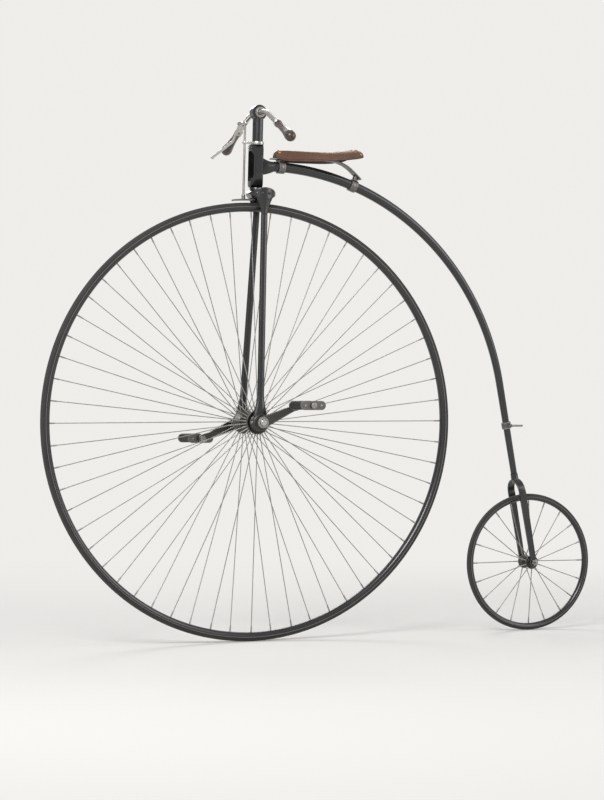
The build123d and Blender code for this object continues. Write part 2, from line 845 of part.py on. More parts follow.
def saddle_clip_rear():
    """The band under the leaf's tail, with a post that meets the leaf."""
    tail_end = spring_path()[-1]
    out_x = tail_end[0] - clip_post_share * spring_tail - backbone_centre_x
    out_z = tail_end[1] - backbone_centre_z
    angle = degrees(atan2(out_z, out_x))
    radius = backbone_radius_at(angle)
    band = arc_location(angle) * clip_band(radius)
    post = arc_location(angle) * Pos(radius + clip_post_length / 2, 0, 0) * Rot(0, 90, 0)
    post *= Cylinder(clip_post_radius, clip_post_length)
    under = Pos(tail_end[0], 0, tail_end[1]) * Rot(0, spring_bend_angle, 0)
    leaf_block = 4 * clip_post_length
    block_place = Pos(0, 0, (leaf_block - spring_thickness) / 2 - seat_gap)
    above = under * block_place * Box(2 * leaf_block, leaf_block, leaf_block)
    return band + (post - above)


def backbone_radius_at(angle):
    """The backbone's own radius at an angle of its arc."""
    share = (arc_start - angle) / (arc_start - arc_end)
    return backbone_start_radius + (backbone_middle_radius - backbone_start_radius) * share


def mounting_step():
    """A toothed foot plate on the left of the backbone's tail, held by a band."""
    share = (step_distance - rear_fork_length) / (tangent_length - rear_fork_length)
    radius = backbone_end_radius + (backbone_middle_radius - backbone_end_radius) * share
    band = clip_band(radius)
    arm = pin(step_arm_radius, (0, -(radius + clip_wall / 2), 0), (0, -step_reach, 0))
    plate = Box(step_plate_width, step_plate_length, step_plate_thickness)
    pitch = step_plate_width / step_teeth
    for index in range(1, step_teeth):
        groove = Box(step_tooth_width, 2 * step_plate_length, step_tooth_width)
        place = Pos(index * pitch - step_plate_width / 2, 0, step_plate_thickness / 2)
        plate -= place * Rot(0, 45, 0) * groove
    plate = Rot(0, arc_end, 0) * Pos(0, -step_reach, 0) * plate
    return rear_line * Pos(0, 0, step_distance) * (band + arm + plate)


def saddle():
    """A leather seat: narrow nose, dipped middle, raised cantle and sides that turn down."""
    # Each row is the share of the length, the half width as a share of the widest, the top's
    # height as a share of the thickness, and the height of the turned down edge.
    rows = (
        (0.00, 0.13, 0.72, 1.0),
        (0.03, 0.21, 0.90, -3.0),
        (0.10, 0.27, 1.04, -9.0),
        (0.28, 0.31, 1.03, -11.0),
        (0.46, 0.46, 0.99, -10.0),
        (0.62, 0.72, 1.00, -8.0),
        (0.78, 0.95, 1.16, -5.0),
        (0.90, 1.00, 1.36, -1.0),
        (0.97, 0.88, 1.34, 4.0),
        (1.00, 0.70, 1.18, 8.0),
    )
    sections = []
    for share, width, top, edge in rows:
        half = width * saddle_half_width
        high = top * saddle_thickness
        outline = make_face(
            ThreePointArc((-half, edge + saddle_edge), (0, high), (half, edge + saddle_edge))
            + Line((half, edge + saddle_edge), (half, edge))
            + ThreePointArc((half, edge), (0, high - saddle_wall), (-half, edge))
            + Line((-half, edge), (-half, edge + saddle_edge))
        )
        x = saddle_nose_x + share * saddle_length
        sections.append(Plane(origin=(x, 0, saddle_low), x_dir=(0, 1, 0), z_dir=(1, 0, 0)) * outline)
    body = loft(sections)
    channel_depth = 2 * saddle_thickness
    channel = Box(3 * saddle_length, spring_width + 2, channel_depth)
    return body - Pos(saddle_nose_x, 0, saddle_low - channel_depth / 2) * channel


parts = {
    "front_tyre": big_hub * tyre(big_radius, big_tyre_section),
    "front_rim": big_hub * rim(big_radius, big_tyre_section, big_rim_section, big_rim_shift, big_rim_lip),
    "front_spokes": big_hub
    * spokes(
        big_spokes_per_side,
        big_spoke_radius,
        big_flange_radius,
        big_flange_spacing,
        rim_floor(big_radius, big_tyre_section, big_rim_section, big_rim_shift),
    ),
    "front_hub": big_hub
    * hub(
        big_flange_radius,
        big_flange_width,
        big_flange_spacing,
        big_barrel_radius,
        big_axle_radius + seat_gap,
    ),
    "front_axle": big_hub * big_axle(),
    "rear_tyre": small_hub * tyre(small_radius, small_tyre_section),
    "rear_rim": small_hub
    * rim(small_radius, small_tyre_section, small_rim_section, small_rim_shift, small_rim_lip),
    "rear_spokes": small_hub
    * spokes(
        small_spokes_per_side,
        small_spoke_radius,
        small_flange_radius,
        small_flange_spacing,
        rim_floor(small_radius, small_tyre_section, small_rim_section, small_rim_shift),
    ),
    "rear_hub": small_hub
    * hub(
        small_flange_radius,
        small_flange_width,
        small_flange_spacing,
        small_barrel_radius,
        small_axle_radius + running_gap,
    ),
    "rear_axle": rear_axle(),
    "rear_axle_nuts": rear_nuts(),
    "fork_crown": fork_crown(),
    "head": head(),
    "head_collar": collar(),
    "handlebar_column": column(),
    "handlebar": handlebar(),
    "brake_lever": brake_lever(),
    "brake_bracket": brake_bracket(),
    "brake_rod": brake_rod(),
    "brake_spoon": brake_spoon(),
    "backbone": backbone(),
    "neck": neck(),
    "rear_fork_crown": rear_fork_crown(),
    "saddle_spring": saddle_spring(),
    "saddle_clip_front": saddle_clip_front(),
    "saddle_clip_rear": saddle_clip_rear(),
    "mounting_step": mounting_step(),
    "saddle": saddle(),
}
for side, name in ((-1, "left"), (1, "right")):
    parts[f"fork_blade_{name}"] = fork_blade(side)
    parts[f"bearing_case_{name}"] = bearing_case(side)
    parts[f"grip_{name}"] = grip(side)
    parts[f"crank_{name}"] = big_hub * crank(side)
    parts[f"axle_nut_{name}"] = big_hub * axle_nut(side)
    parts[f"pedal_pin_{name}"] = big_hub * pedal_pin(side)
    parts[f"pedal_{name}"] = big_hub * pedal_frame(side)
    parts[f"pedal_rubbers_{name}"] = big_hub * pedal_rubbers(side)
    parts[f"rear_fork_{name}"] = rear_blade(side)

os.makedirs("parts", exist_ok=True)
to_saddle_top = Pos(-saddle_mount_x, 0, -saddle_mount_z)
for name, shape in parts.items():
    export_step(to_saddle_top * shape, f"parts/{name}.step")
    print(name, round(shape.volume))
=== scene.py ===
import bmesh
import bpy
import json
import math
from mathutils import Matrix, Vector


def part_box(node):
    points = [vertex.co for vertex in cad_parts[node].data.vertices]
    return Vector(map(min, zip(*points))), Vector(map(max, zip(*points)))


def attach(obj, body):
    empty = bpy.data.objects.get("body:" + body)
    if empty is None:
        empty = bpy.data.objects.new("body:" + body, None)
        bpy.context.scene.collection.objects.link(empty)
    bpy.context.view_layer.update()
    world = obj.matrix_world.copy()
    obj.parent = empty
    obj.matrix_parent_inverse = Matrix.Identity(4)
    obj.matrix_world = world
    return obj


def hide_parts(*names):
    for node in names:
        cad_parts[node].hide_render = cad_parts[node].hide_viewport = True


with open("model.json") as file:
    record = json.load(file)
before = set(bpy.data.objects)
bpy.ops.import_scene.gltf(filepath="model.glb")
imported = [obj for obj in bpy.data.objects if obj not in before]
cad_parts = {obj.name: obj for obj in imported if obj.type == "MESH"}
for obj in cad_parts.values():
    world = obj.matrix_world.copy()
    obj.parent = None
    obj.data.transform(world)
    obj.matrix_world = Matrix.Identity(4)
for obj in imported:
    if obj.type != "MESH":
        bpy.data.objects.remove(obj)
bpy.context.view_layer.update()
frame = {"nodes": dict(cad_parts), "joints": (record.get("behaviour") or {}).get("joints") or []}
joints = {joint["name"]: joint for joint in frame["joints"]}
print("stage: frame loaded")

# Places every piece is worked out from
bigHub = Vector(joints["front_wheel_spin"]["pos_m"])
smallHub = Vector(joints["rear_wheel_spin"]["pos_m"])
steerAxis = Vector(joints["steering"]["axis"]).normalized()
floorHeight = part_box("front_tyre")[0].z
xAxis, sideAxis, zAxis = Vector((1, 0, 0)), Vector((0, 1, 0)), Vector((0, 0, 1))
backAxis = sideAxis.cross(steerAxis).normalized()   # square to the steering axis
sideSigns = (("left", -1), ("right", 1))


def onFork(back, side, up):
    return bigHub + backAxis * back + sideAxis * side + steerAxis * up


def mixed(first, second, share):
    return first + (second - first) * share


def eased(share):
    share = min(1.0, max(0.0, share))
    return share * share * (3 - 2 * share)


def shares(steps):
    return [index / steps for index in range(steps + 1)]


def circle(steps):
    angles = [2 * math.pi * index / steps for index in range(steps)]
    return [(math.cos(angle), math.sin(angle)) for angle in angles]


def bentLine(start, corner, end, steps):
    return [start * (1 - t) ** 2 + corner * 2 * t * (1 - t) + end * t * t for t in shares(steps)]


def mirrored(profile):
    return [(radius, -height) for radius, height in reversed(profile)]


def addObject(name, data):
    made = bpy.data.objects.new(name, data)
    bpy.context.scene.collection.objects.link(made)
    return made


# Camera at the picture's viewing angle, the image taken as 604 by 800
view = dict(back=-2.803, side=-7.0, up=0.115, turn=-22.95, tilt=0.39, lens=117.2, sensor=36.0)
camera = addObject("camera", bpy.data.cameras.new("camera"))
camera.data.lens = view["lens"]
camera.data.sensor_width = view["sensor"]
camera.location = bigHub + Vector((view["back"], view["side"], view["up"]))
camera.rotation_euler = (math.radians(90 - view["tilt"]), 0, math.radians(view["turn"]))
bpy.context.scene.camera = camera
bpy.context.scene.view_settings.view_transform = "Standard"


# Sums in node trees are written as plain expressions on this wrapper
class Wire:
    def __init__(self, tree, socket):
        self.tree = tree
        self.socket = socket

    def maths(self, operation, first, second=None, clamp=False):
        node = self.tree.nodes.new("ShaderNodeMath")
        node.operation = operation
        node.use_clamp = clamp
        for index, value in enumerate((first, second)):
            if isinstance(value, Wire):
                self.tree.links.new(value.socket, node.inputs[index])
            elif value is not None:
                node.inputs[index].default_value = value
        return Wire(self.tree, node.outputs[0])

    def __add__(self, other):
        return self.maths("ADD", self, other)

    def __sub__(self, other):
        return self.maths("SUBTRACT", self, other)

    def __rsub__(self, other):
        return self.maths("SUBTRACT", other, self)

    def __mul__(self, other):
        return self.maths("MULTIPLY", self, other)

    __radd__, __rmul__ = __add__, __mul__

    def __rtruediv__(self, other):
        return self.maths("DIVIDE", other, self)

    def __abs__(self):
        return self.maths("ABSOLUTE", self)

    def clamped(self):
        return self.maths("ADD", self, 0.0, clamp=True)

    def over(self, low, high):
        return self.maths("MULTIPLY", self - low, 1.0 / (high - low), clamp=True)


# A node tree being built: node() makes any other node, settings first, then values or wires
class Tree:
    def __init__(self, tree):
        self.tree = tree

    def node(self, kind, settings=None, values=None, out=0):
        made = self.tree.nodes.new(kind)
        for key, value in (settings or {}).items():
            setattr(made, key, value)
        for key, value in (values or {}).items():
            self.feed(made.inputs[key], value)
        return Wire(self.tree, made.outputs[out]) if made.outputs else None

    def feed(self, socket, value):
        if isinstance(value, list):
            for part in value:
                self.feed(socket, part)
        elif isinstance(value, Wire):
            self.tree.links.new(value.socket, socket)
        elif socket.type == "RGBA":
            socket.default_value = (*value, 1.0)
        else:
            socket.default_value = value


class Finish(Tree):
    def __init__(self, name):
        self.material = bpy.data.materials.new(name)
        self.material.use_nodes = True
        super().__init__(self.material.node_tree)
        self.tree.nodes.clear()
        self.place = self.node("ShaderNodeTexCoord", out="Object")

    def noise(self, scale, detail=4.0, rough=0.55, stretch=(1, 1, 1)):
        placed = self.node("ShaderNodeMapping", values={"Vector": self.place, "Scale": stretch})
        values = {"Vector": placed, "Scale": scale, "Detail": detail, "Roughness": rough}
        return self.node("ShaderNodeTexNoise", values=values)

    def cells(self, scale, feature):
        values = {"Vector": self.place, "Scale": scale}
        return self.node("ShaderNodeTexVoronoi", {"feature": feature}, values, "Distance")

    def blend(self, mask, first, second):
        values = {0: mask, 6: first, 7: second}
        return self.node("ShaderNodeMix", {"data_type": "RGBA"}, values, 2)

    def read(self, label, out="Fac"):
        return self.node("ShaderNodeAttribute", {"attribute_name": label}, out=out)

    def bump(self, height, strength, distance):
        values = {"Height": height, "Strength": strength, "Distance": distance}
        return self.node("ShaderNodeBump", values=values)

    def surface(self, **sockets):
        values = {label.replace("_", " "): value for label, value in sockets.items()}
        return self.show(self.node("ShaderNodeBsdfPrincipled", values=values))

    def show(self, shader):
        self.node("ShaderNodeOutputMaterial", values={"Surface": shader})
        return self.material


# Finishes
tints = dict(
    dust=(0.019, 0.018, 0.017),
    # bare iron, also the colour of the rims' painted highlight band along the lip
    bareIronAndHighlight=(0.22, 0.205, 0.185),
    rust=(0.085, 0.04, 0.02),
    polished=(0.55, 0.54, 0.52),
    rubberCrack=(0.018, 0.017, 0.016),
    leatherDark=(0.085, 0.036, 0.017),
    leatherWarm=(0.15, 0.068, 0.034),
    leatherRubbed=(0.26, 0.145, 0.08),
    leatherBurnt=(0.026, 0.011, 0.007),
    hornDark=(0.008, 0.0065, 0.006),
    hornBrown=(0.07, 0.04, 0.022),
    hornPale=(0.21, 0.14, 0.085),
    hornRubbed=(0.16, 0.11, 0.075),
)


def makeEnamel(name, base=(0.007, 0.007, 0.0075), chip=0.96):
    f = Finish(name)
    broad = f.noise(9.0, 3.0)
    fine = f.noise(140.0, 5.0, 0.7)
    chips = f.noise(420.0, 3.0, 0.6)
    # On the rims this mask also paints a highlight: a band of bare iron along the lip
    rubbedAndHighlight = (f.read("wear") + fine * 0.6 + chips * 0.3 - chip).over(0.0, 0.1)
    dust = (broad * 1.6 - 0.55).clamped()
    coat = f.blend(dust * 0.5, base, tints["dust"])
    flecks = (chips - 0.72).over(0.0, 0.04) * 0.25
    return f.surface(
        Base_Color=f.blend((rubbedAndHighlight + flecks).clamped(), coat, tints["bareIronAndHighlight"]),
        Roughness=0.2 + fine * 0.14 + dust * 0.12 + rubbedAndHighlight * 0.15,
        Metallic=rubbedAndHighlight * 0.9,
        Coat_Weight=0.45 - rubbedAndHighlight * 0.4,
        Coat_Roughness=0.12,
        Normal=f.bump(fine * 0.5 + broad - rubbedAndHighlight * 0.5, 0.1, 0.0006),
    )


def makeSteel(name, base, dull, rough=0.3, spots=0.5, relief=0.12):
    f = Finish(name)
    brushed = f.noise(380.0, 3.0, 0.6)
    cloud = f.noise(22.0, 5.0, 0.6)
    pits = f.noise(260.0, 6.0, 0.75)
    stain = (cloud * 1.5 - 0.52).clamped()
    rust = ((pits + cloud * 0.4) - 0.86).over(0.0, 0.1) * spots
    polish = f.read("wear") * 0.6
    colour = f.blend(rust, f.blend(stain * 0.75, base, dull), tints["rust"])
    return f.surface(
        Base_Color=f.blend(polish.clamped(), colour, tints["polished"]),
        Roughness=rough + brushed * 0.16 + stain * 0.16 + rust * 0.3 - polish * 0.1,
        Metallic=1.0 - rust * 0.8,
        Normal=f.bump(brushed * 0.6 + pits * 0.4 - rust * 0.5, relief, 0.0004),
    )


def makeRubber(name, base, pale):
    f = Finish(name)
    cloud = f.noise(14.0, 5.0, 0.6)
    grit = f.noise(620.0, 4.0, 0.7)
    cracks = f.cells(230.0, "DISTANCE_TO_EDGE")
    crack = (1.0 - cracks.over(0.0, 0.07)) * (cloud * 2.4 - 0.85).clamped()
    bloom = (cloud * 1.5 - 0.4).clamped() * 0.6 + f.read("wear") * 0.5
    colour = f.blend(bloom.clamped(), base, pale)
    return f.surface(
        Base_Color=f.blend(crack * 0.35, colour, tints["rubberCrack"]),
        Roughness=0.62 + grit * 0.16 + cloud * 0.1,
        Normal=f.bump(grit * 0.5 - crack * 0.5 + cloud * 0.3, 0.35, 0.0006),
    )


def makeLeather(name, tooledLine=0.007):
    f = Finish(name)
    cloud = f.noise(16.0, 5.0, 0.6)
    warp = f.noise(60.0, 3.0, 0.5)
    grain = f.cells(520.0, "SMOOTH_F1")
    creases = f.noise(75.0, 8.0, 0.72, (1.0, 0.45, 1.0))
    crease = 1.0 - abs(creases - 0.5).over(0.0, 0.035)
    fromRim = f.read("rim")
    groove = 1.0 - abs(fromRim - tooledLine).over(0.0003, 0.001)
    burnish = 1.0 - (fromRim + (cloud - 0.5) * 0.004).over(0.0008, 0.0048)
    rub = (fromRim.over(0.012, 0.045) * 0.55 + cloud * 0.6 - 0.42).over(0.0, 0.5)
    colour = f.blend(cloud, tints["leatherDark"], tints["leatherWarm"])
    colour = f.blend(rub * 0.55, colour, tints["leatherRubbed"])
    dark = crease * 0.35 + (1.0 - grain.over(0.1, 0.6)) * 0.1 + burnish * 0.75 + groove * 0.7
    return f.surface(
        Base_Color=f.blend(dark.clamped(), colour, tints["leatherBurnt"]),
        Roughness=0.5 + warp * 0.18 + crease * 0.12 - rub * 0.08 - burnish * 0.1,
        Normal=f.bump(grain * 0.4 - crease * 0.3 + warp * 0.3 - groove * 1.6, 0.38, 0.0006),
    )


def makeHorn(name):
    f = Finish(name)
    f.place = f.read("grain", "Vector")
    streak = f.noise(95.0, 5.0, 0.62, (1.0, 1.0, 0.13))
    thread = f.noise(330.0, 4.0, 0.6, (1.0, 1.0, 0.06))
    colour = f.blend(streak.over(0.36, 0.68), tints["hornDark"], tints["hornBrown"])
    colour = f.blend(thread.over(0.54, 0.72) * 0.55, colour, tints["hornPale"])
    return f.surface(
        Base_Color=f.blend((f.read("wear") * 0.5).clamped(), colour, tints["hornRubbed"]),
        Roughness=0.24 + thread * 0.18 + streak * 0.08,
        Coat_Weight=0.35 + thread * 0.1,
        Coat_Roughness=0.1,
        Normal=f.bump(thread * 0.6 + streak * 0.4, 0.15, 0.0004),
    )


blackEnamel = makeEnamel("blackEnamel")
# Rim enamel, with a painted highlight of bare iron along the lip
rimEnamel = makeEnamel("rimEnamel", chip=0.98)
plainSteel = makeSteel("plainSteel", (0.36, 0.35, 0.335), (0.13, 0.115, 0.1))
darkSteel = makeSteel("darkSteel", (0.2, 0.19, 0.18), (0.075, 0.068, 0.06), 0.36, 0.8)
brightSteel = makeSteel("brightSteel", (0.58, 0.565, 0.54), (0.3, 0.28, 0.25), 0.17, 0.2, 0.04)
spokeSteel = makeSteel("spokeSteel", (0.36, 0.35, 0.33), (0.19, 0.175, 0.155), 0.4, 0.35)
hubSteel = makeSteel("hubSteel", (0.105, 0.1, 0.095), (0.04, 0.036, 0.032))
tyreRubber = makeRubber("tyreRubber", (0.016, 0.0155, 0.015), (0.06, 0.056, 0.052))
pedalRubber = makeRubber("pedalRubber", (0.02, 0.019, 0.018), (0.062, 0.058, 0.054))
saddleLeather = makeLeather("saddleLeather")
darkHorn = makeHorn("darkHorn")
copperRivet = makeSteel("copperRivet", (0.5, 0.26, 0.14), (0.2, 0.1, 0.06), 0.32, 0.2)
print("stage: finishes made")


# Mesh helpers
def markPoints(mesh, label, values, kind="FLOAT"):
    layer = mesh.attributes.new(label, kind, "POINT")
    layer.data.foreach_set("value" if kind == "FLOAT" else "vector", values)


def smoothPiece(piece, angle):
    piece.data.shade_smooth()
    piece.data.set_sharp_from_angle(angle=math.radians(angle))


def meshPiece(name, points, faces, material, smoothAngle=40.0, marks=None, weld=1e-6):
    mesh = bpy.data.meshes.new(name)
    mesh.from_pydata([tuple(point) for point in points], [], faces)
    for label, values in (marks or {}).items():
        markPoints(mesh, label, values)
    mesh.validate()
    work = bmesh.new()
    work.from_mesh(mesh)
    bmesh.ops.remove_doubles(work, verts=work.verts, dist=weld)
    bmesh.ops.recalc_face_normals(work, faces=work.faces)
    if work.calc_volume(signed=True) < 0:
        bmesh.ops.reverse_faces(work, faces=work.faces)
    work.to_mesh(mesh)
    work.free()
    mesh.materials.append(material)
    piece = addObject(name, mesh)
    smoothPiece(piece, smoothAngle)
    return piece


def settleModifiers(piece):
    bpy.context.view_layer.update()
    evaluated = piece.evaluated_get(bpy.context.evaluated_depsgraph_get())
    mesh = bpy.data.meshes.new_from_object(evaluated)
    piece.modifiers.clear()
    piece.data = mesh


def splitLong(piece, longest=0.006, rounds=9, mostFaces=24000):
    # Halves the longest edges first, so wear stays at the corners and the mesh stays closed
    work = bmesh.new()
    work.from_mesh(piece.data)
    bmesh.ops.triangulate(work, faces=work.faces)
    for _ in range(rounds):
        long = [(edge.calc_length(), index, edge) for index, edge in enumerate(work.edges)]
        long = sorted((row for row in long if row[0] > longest), reverse=True)
        if not long or len(work.faces) > mostFaces:
            break
        for _, _, edge in long:
            ends = set(edge.verts)
            corners = [(face, (set(face.verts) - ends).pop()) for face in edge.link_faces]
            middle = bmesh.utils.edge_split(edge, edge.verts[0], 0.5)[1]
            for face, corner in corners:
                bmesh.utils.face_split(face, middle, corner)
    work.to_mesh(piece.data)
    work.free()


def markWear(piece, leastBend=0.4, rise=0.25, spread=0.4):
    # Wear is full where an outward edge bends by leastBend + rise, and spreads a little
    work = bmesh.new()
    work.from_mesh(piece.data)
    sharp = []
    for vert in work.verts:
        bends = [edge.calc_face_angle_signed(0.0) for edge in vert.link_edges]
        sharp.append(min(1.0, max(0.0, max([0.0, *bends]) - leastBend) / rise))
    amounts = []
    for vert in work.verts:
        around = [sharp[edge.other_vert(vert).index] for edge in vert.link_edges]
        near = spread * sum(around) / max(1, len(around))
        amounts.append((1 - spread) * sharp[vert.index] + near)
    work.free()
    markPoints(piece.data, "wear", amounts)


def place(piece, body, slotName, *nodes):
    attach(piece, body)
    if nodes:
        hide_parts(*nodes)


def placeWorn(piece, body, slotName, *nodes):
    markWear(piece)
    place(piece, body, slotName, *nodes)


def roundedProfile(points, radius, steps=3, mostShare=0.45):
    made = [points[0]]
    for before, corner, after in zip(points, points[1:], points[2:]):
        a, b, c = Vector(before), Vector(corner), Vector(after)
        run = min(radius, (a - b).length * mostShare, (c - b).length * mostShare)
        start = b + (a - b).normalized() * run
        end = b + (c - b).normalized() * run
        made += [tuple(point) for point in bentLine(start, b, end, steps)]
    made.append(points[-1])
    return made


def ringFaces(rings, count, joined=False, closed=True):
    # Quads from ring to ring, where joined runs on from the last ring to the first
    faces = []
    for ring in range(rings if joined else rings - 1):
        a, b = ring * count, (ring + 1) % rings * count
        for step in range(count if closed else count - 1):
            following = (step + 1) % count
            faces.append((a + step, a + following, b + following, b + step))
    return faces


def cappedFaces(rings, count):
    caps = [tuple(range(count))[::-1], tuple(range((rings - 1) * count, rings * count))]
    return caps + ringFaces(rings, count)


def latheShape(profile, centre, axis, segments=48, closed=False):
    axis = Vector(axis).normalized()
    across = axis.orthogonal().normalized()
    other = axis.cross(across)
    points = []
    for cosine, sine in circle(segments):
        outward = across * cosine + other * sine
        points += [centre + outward * radius + axis * height for radius, height in profile]
    return points, ringFaces(segments, len(profile), True, closed)


def lathe(name, profile, centre, axis, material, segments=48, closed=False, smoothAngle=40.0):
    points, faces = latheShape(profile, centre, axis, segments, closed)
    return meshPiece(name, points, faces, material, smoothAngle)


def joinShapes(*shapes):
    points, faces = [], []
    for somePoints, someFaces in shapes:
        start = len(points)
        points += somePoints
        faces += [tuple(start + index for index in face) for face in someFaces]
    return points, faces


def ellipseSection(halfSide, halfNormal, sides=28):
    return [(halfSide * cosine, halfNormal * sine) for cosine, sine in circle(sides)]


def boxSection(halfSide, halfNormal, corner, steps=2):
    rounding = min(halfSide, halfNormal) * corner
    made = []
    for signA, signB, start in ((1, 1, 0), (-1, 1, 90), (-1, -1, 180), (1, -1, 270)):
        for share in shares(steps):
            angle = math.radians(start + 90 * share)
            a = signA * (halfSide - rounding) + rounding * math.cos(angle)
            made.append((a, signB * (halfNormal - rounding) + rounding * math.sin(angle)))
    return made


def sweep(name, spine, side, section, material, smoothAngle=40.0, edge=0.0008):
    # section is a ring of (across, up) or a function that gives one along the spine
    side = Vector(side).normalized()
    last = len(spine) - 1
    points = []

    def addRing(index, shift=0.0, shrink=0.0):
        along = (spine[min(index + 1, last)] - spine[max(index - 1, 0)]).normalized()
        normal = along.cross(side).normalized()
        cross = normal.cross(along).normalized()
        ring = section(index / last) if callable(section) else section
        for a, b in ring:
            length = math.hypot(a, b)
            keep = max(0.0, length - shrink) / length
            points.append(spine[index] + along * shift + cross * a * keep + normal * b * keep)
        return len(ring)

    addRing(0, 0.0, edge)
    addRing(0, edge)
    for index in range(1, last):
        addRing(index)
    addRing(last, -edge)
    count = addRing(last, 0.0, edge)
    return meshPiece(name, points, cappedFaces(len(points) // count, count), material, smoothAngle)


def runLengths(points):
    runs = [0.0]
    for before, after in zip(points, points[1:]):
        runs.append(runs[-1] + (after - before).length)
    return runs


dressing = dict(weld=2e-5, flatAngle=1.0, edgeAngle=38.0, edgeSteps=2, smoothAngle=32.0)


def dressNode(node, material, edge):
    piece = addObject(node + "_finished", frame["nodes"][node].data.copy())
    work = bmesh.new()
    work.from_mesh(piece.data)
    bmesh.ops.remove_doubles(work, verts=work.verts, dist=dressing["weld"])
    flat = math.radians(dressing["flatAngle"])
    bmesh.ops.dissolve_limit(work, angle_limit=flat, verts=work.verts, edges=work.edges, delimit=set())
    work.to_mesh(piece.data)
    work.free()
    if edge:
        rounding = piece.modifiers.new("rounding", "BEVEL")
        rounding.width = edge
        rounding.segments = dressing["edgeSteps"]
        rounding.limit_method = "ANGLE"
        rounding.angle_limit = math.radians(dressing["edgeAngle"])
        settleModifiers(piece)
    splitLong(piece)
    piece.data.materials.clear()
    piece.data.materials.append(material)
    smoothPiece(piece, dressing["smoothAngle"])
    if node != "fork_crown":   # its faint ledge would show as a bright mark
        markWear(piece)
    return piece


# A geometry tree with named inputs, run once into a plain mesh
class Growth(Tree):
    def __init__(self, name, inputs):
        super().__init__(bpy.data.node_groups.new(name, "GeometryNodeTree"))
        face = self.tree.interface
        face.new_socket("Geometry", in_out="OUTPUT", socket_type="NodeSocketGeometry")
        self.names = {}
        for label, kind in inputs.items():
            item = face.new_socket(label, in_out="INPUT", socket_type="NodeSocket" + kind)
            self.names[label] = item.identifier

    def given(self, label):
        return self.node("NodeGroupInput", out=label)

    def shape(self, label):
        values = {"Object": self.given(label)}
        return self.node("GeometryNodeObjectInfo", values=values, out="Geometry")

    def attribute(self, label, kind):
        settings = {"data_type": kind}
        return self.node("GeometryNodeInputNamedAttribute", settings, {"Name": label})

    def close(self, geometry, material):
        real = self.node("GeometryNodeRealizeInstances", values={"Geometry": geometry})
        values = {"Geometry": real, "Material": material}
        finished = self.node("GeometryNodeSetMaterial", values=values)
        self.node("NodeGroupOutput", values={0: finished})

    def run(self, name, values):
        host = addObject(name, bpy.data.meshes.new(name))
        modifier = host.modifiers.new("growth", "NODES")
        modifier.node_group = self.tree
        for label, value in values.items():
            modifier[self.names[label]] = value
        settleModifiers(host)
        return host


# Bolts, rivets and caps: a tree sets one shape on points that hold its lean, way along and size
def makePointTree():
    g = Growth("setOnPoints", {"Marks": "Object", "Shape": "Object", "Finish": "Material"})
    points = g.node("GeometryNodeMeshToPoints", values={"Mesh": g.shape("Marks")}, out="Points")
    lean = g.attribute("lean", "FLOAT_VECTOR")
    upright = g.node("FunctionNodeAlignRotationToVector", {"axis": "Z"}, {"Vector": lean})
    turned = g.node(
        "FunctionNodeAlignRotationToVector",
        {"axis": "X", "pivot_axis": "Z"},
        {"Rotation": upright, "Vector": g.attribute("along", "FLOAT_VECTOR")},
    )
    size = g.attribute("size", "FLOAT")
    values = {"Points": points, "Instance": g.shape("Shape"), "Rotation": turned, "Scale": size}
    g.close(g.node("GeometryNodeInstanceOnPoints", values=values), g.given("Finish"))
    return g


setOnPoints = makePointTree()


def growOnPoints(name, marks, shape, material, body, slotName):
    # marks are (point, lean, along, size)
    mesh = bpy.data.meshes.new(name + "Marks")
    mesh.from_pydata([tuple(mark[0]) for mark in marks], [], [])
    for label, column in (("lean", 1), ("along", 2)):
        markPoints(mesh, label, [part for mark in marks for part in mark[column]], "FLOAT_VECTOR")
    markPoints(mesh, "size", [mark[3] for mark in marks])
    host = addObject(name + "Marks", mesh)
    proto = meshPiece(name + "Shape", *shape, material)
    piece = setOnPoints.run(name, {"Marks": host, "Shape": proto, "Finish": material})
    bpy.data.objects.remove(host)
    bpy.data.objects.remove(proto)
    smoothPiece(piece, 35.0)
    placeWorn(piece, body, slotName)


# Profiles for a head radius of one, scaled by the marks: radius, height
small = dict(
    washer=((0.0, -0.1), (1.22, -0.1), (1.3, 0.02), (1.26, 0.14), (1.1, 0.18), (0.0, 0.18)),
    boltHead=((0.0, 0.1), (0.92, 0.1), (1.0, 0.2), (1.0, 0.82), (0.86, 0.98), (0.0, 1.02)),
    cup=(
        (0.0, -0.2), (0.62, -0.2), (0.62, 0.5), (1.0, 0.8), (1.0, 1.9),
        (0.86, 2.1), (0.5, 2.2), (0.42, 2.5), (0.0, 2.6),
    ),
    cupRound=0.12,
    nut=((0.0, -0.1), (0.95, -0.1), (1.0, 0.0), (1.0, 0.62), (0.92, 0.7), (0.0, 0.74)),
    cap=((0.0, 0.6), (0.86, 0.6), (0.84, 0.85), (0.66, 1.16), (0.36, 1.34), (0.0, 1.4)),
    rivetFoot=-0.1,
    rivetRim=0.06,
    rivetDome=0.44,
)


def turnedSmall(profile, segments):
    return latheShape(profile, Vector((0, 0, 0)), zAxis, segments)


def rivetProfile():
    rim, dome = small["rivetRim"], small["rivetDome"]
    profile = [(0.0, small["rivetFoot"]), (1.0, small["rivetFoot"]), (1.0, rim)]
    for step in range(1, 6):
        angle = math.pi / 2 * step / 6
        profile.append((math.cos(angle), rim + dome * math.sin(angle)))
    return profile + [(0.0, rim + dome)]


boltShape = joinShapes(turnedSmall(small["washer"], 20), turnedSmall(small["boltHead"], 6))
acornShape = joinShapes(turnedSmall(small["nut"], 6), turnedSmall(small["cap"], 16))
cupShape = turnedSmall(roundedProfile(small["cup"], small["cupRound"], 2), 18)
rivetShape = turnedSmall(rivetProfile(), 16)

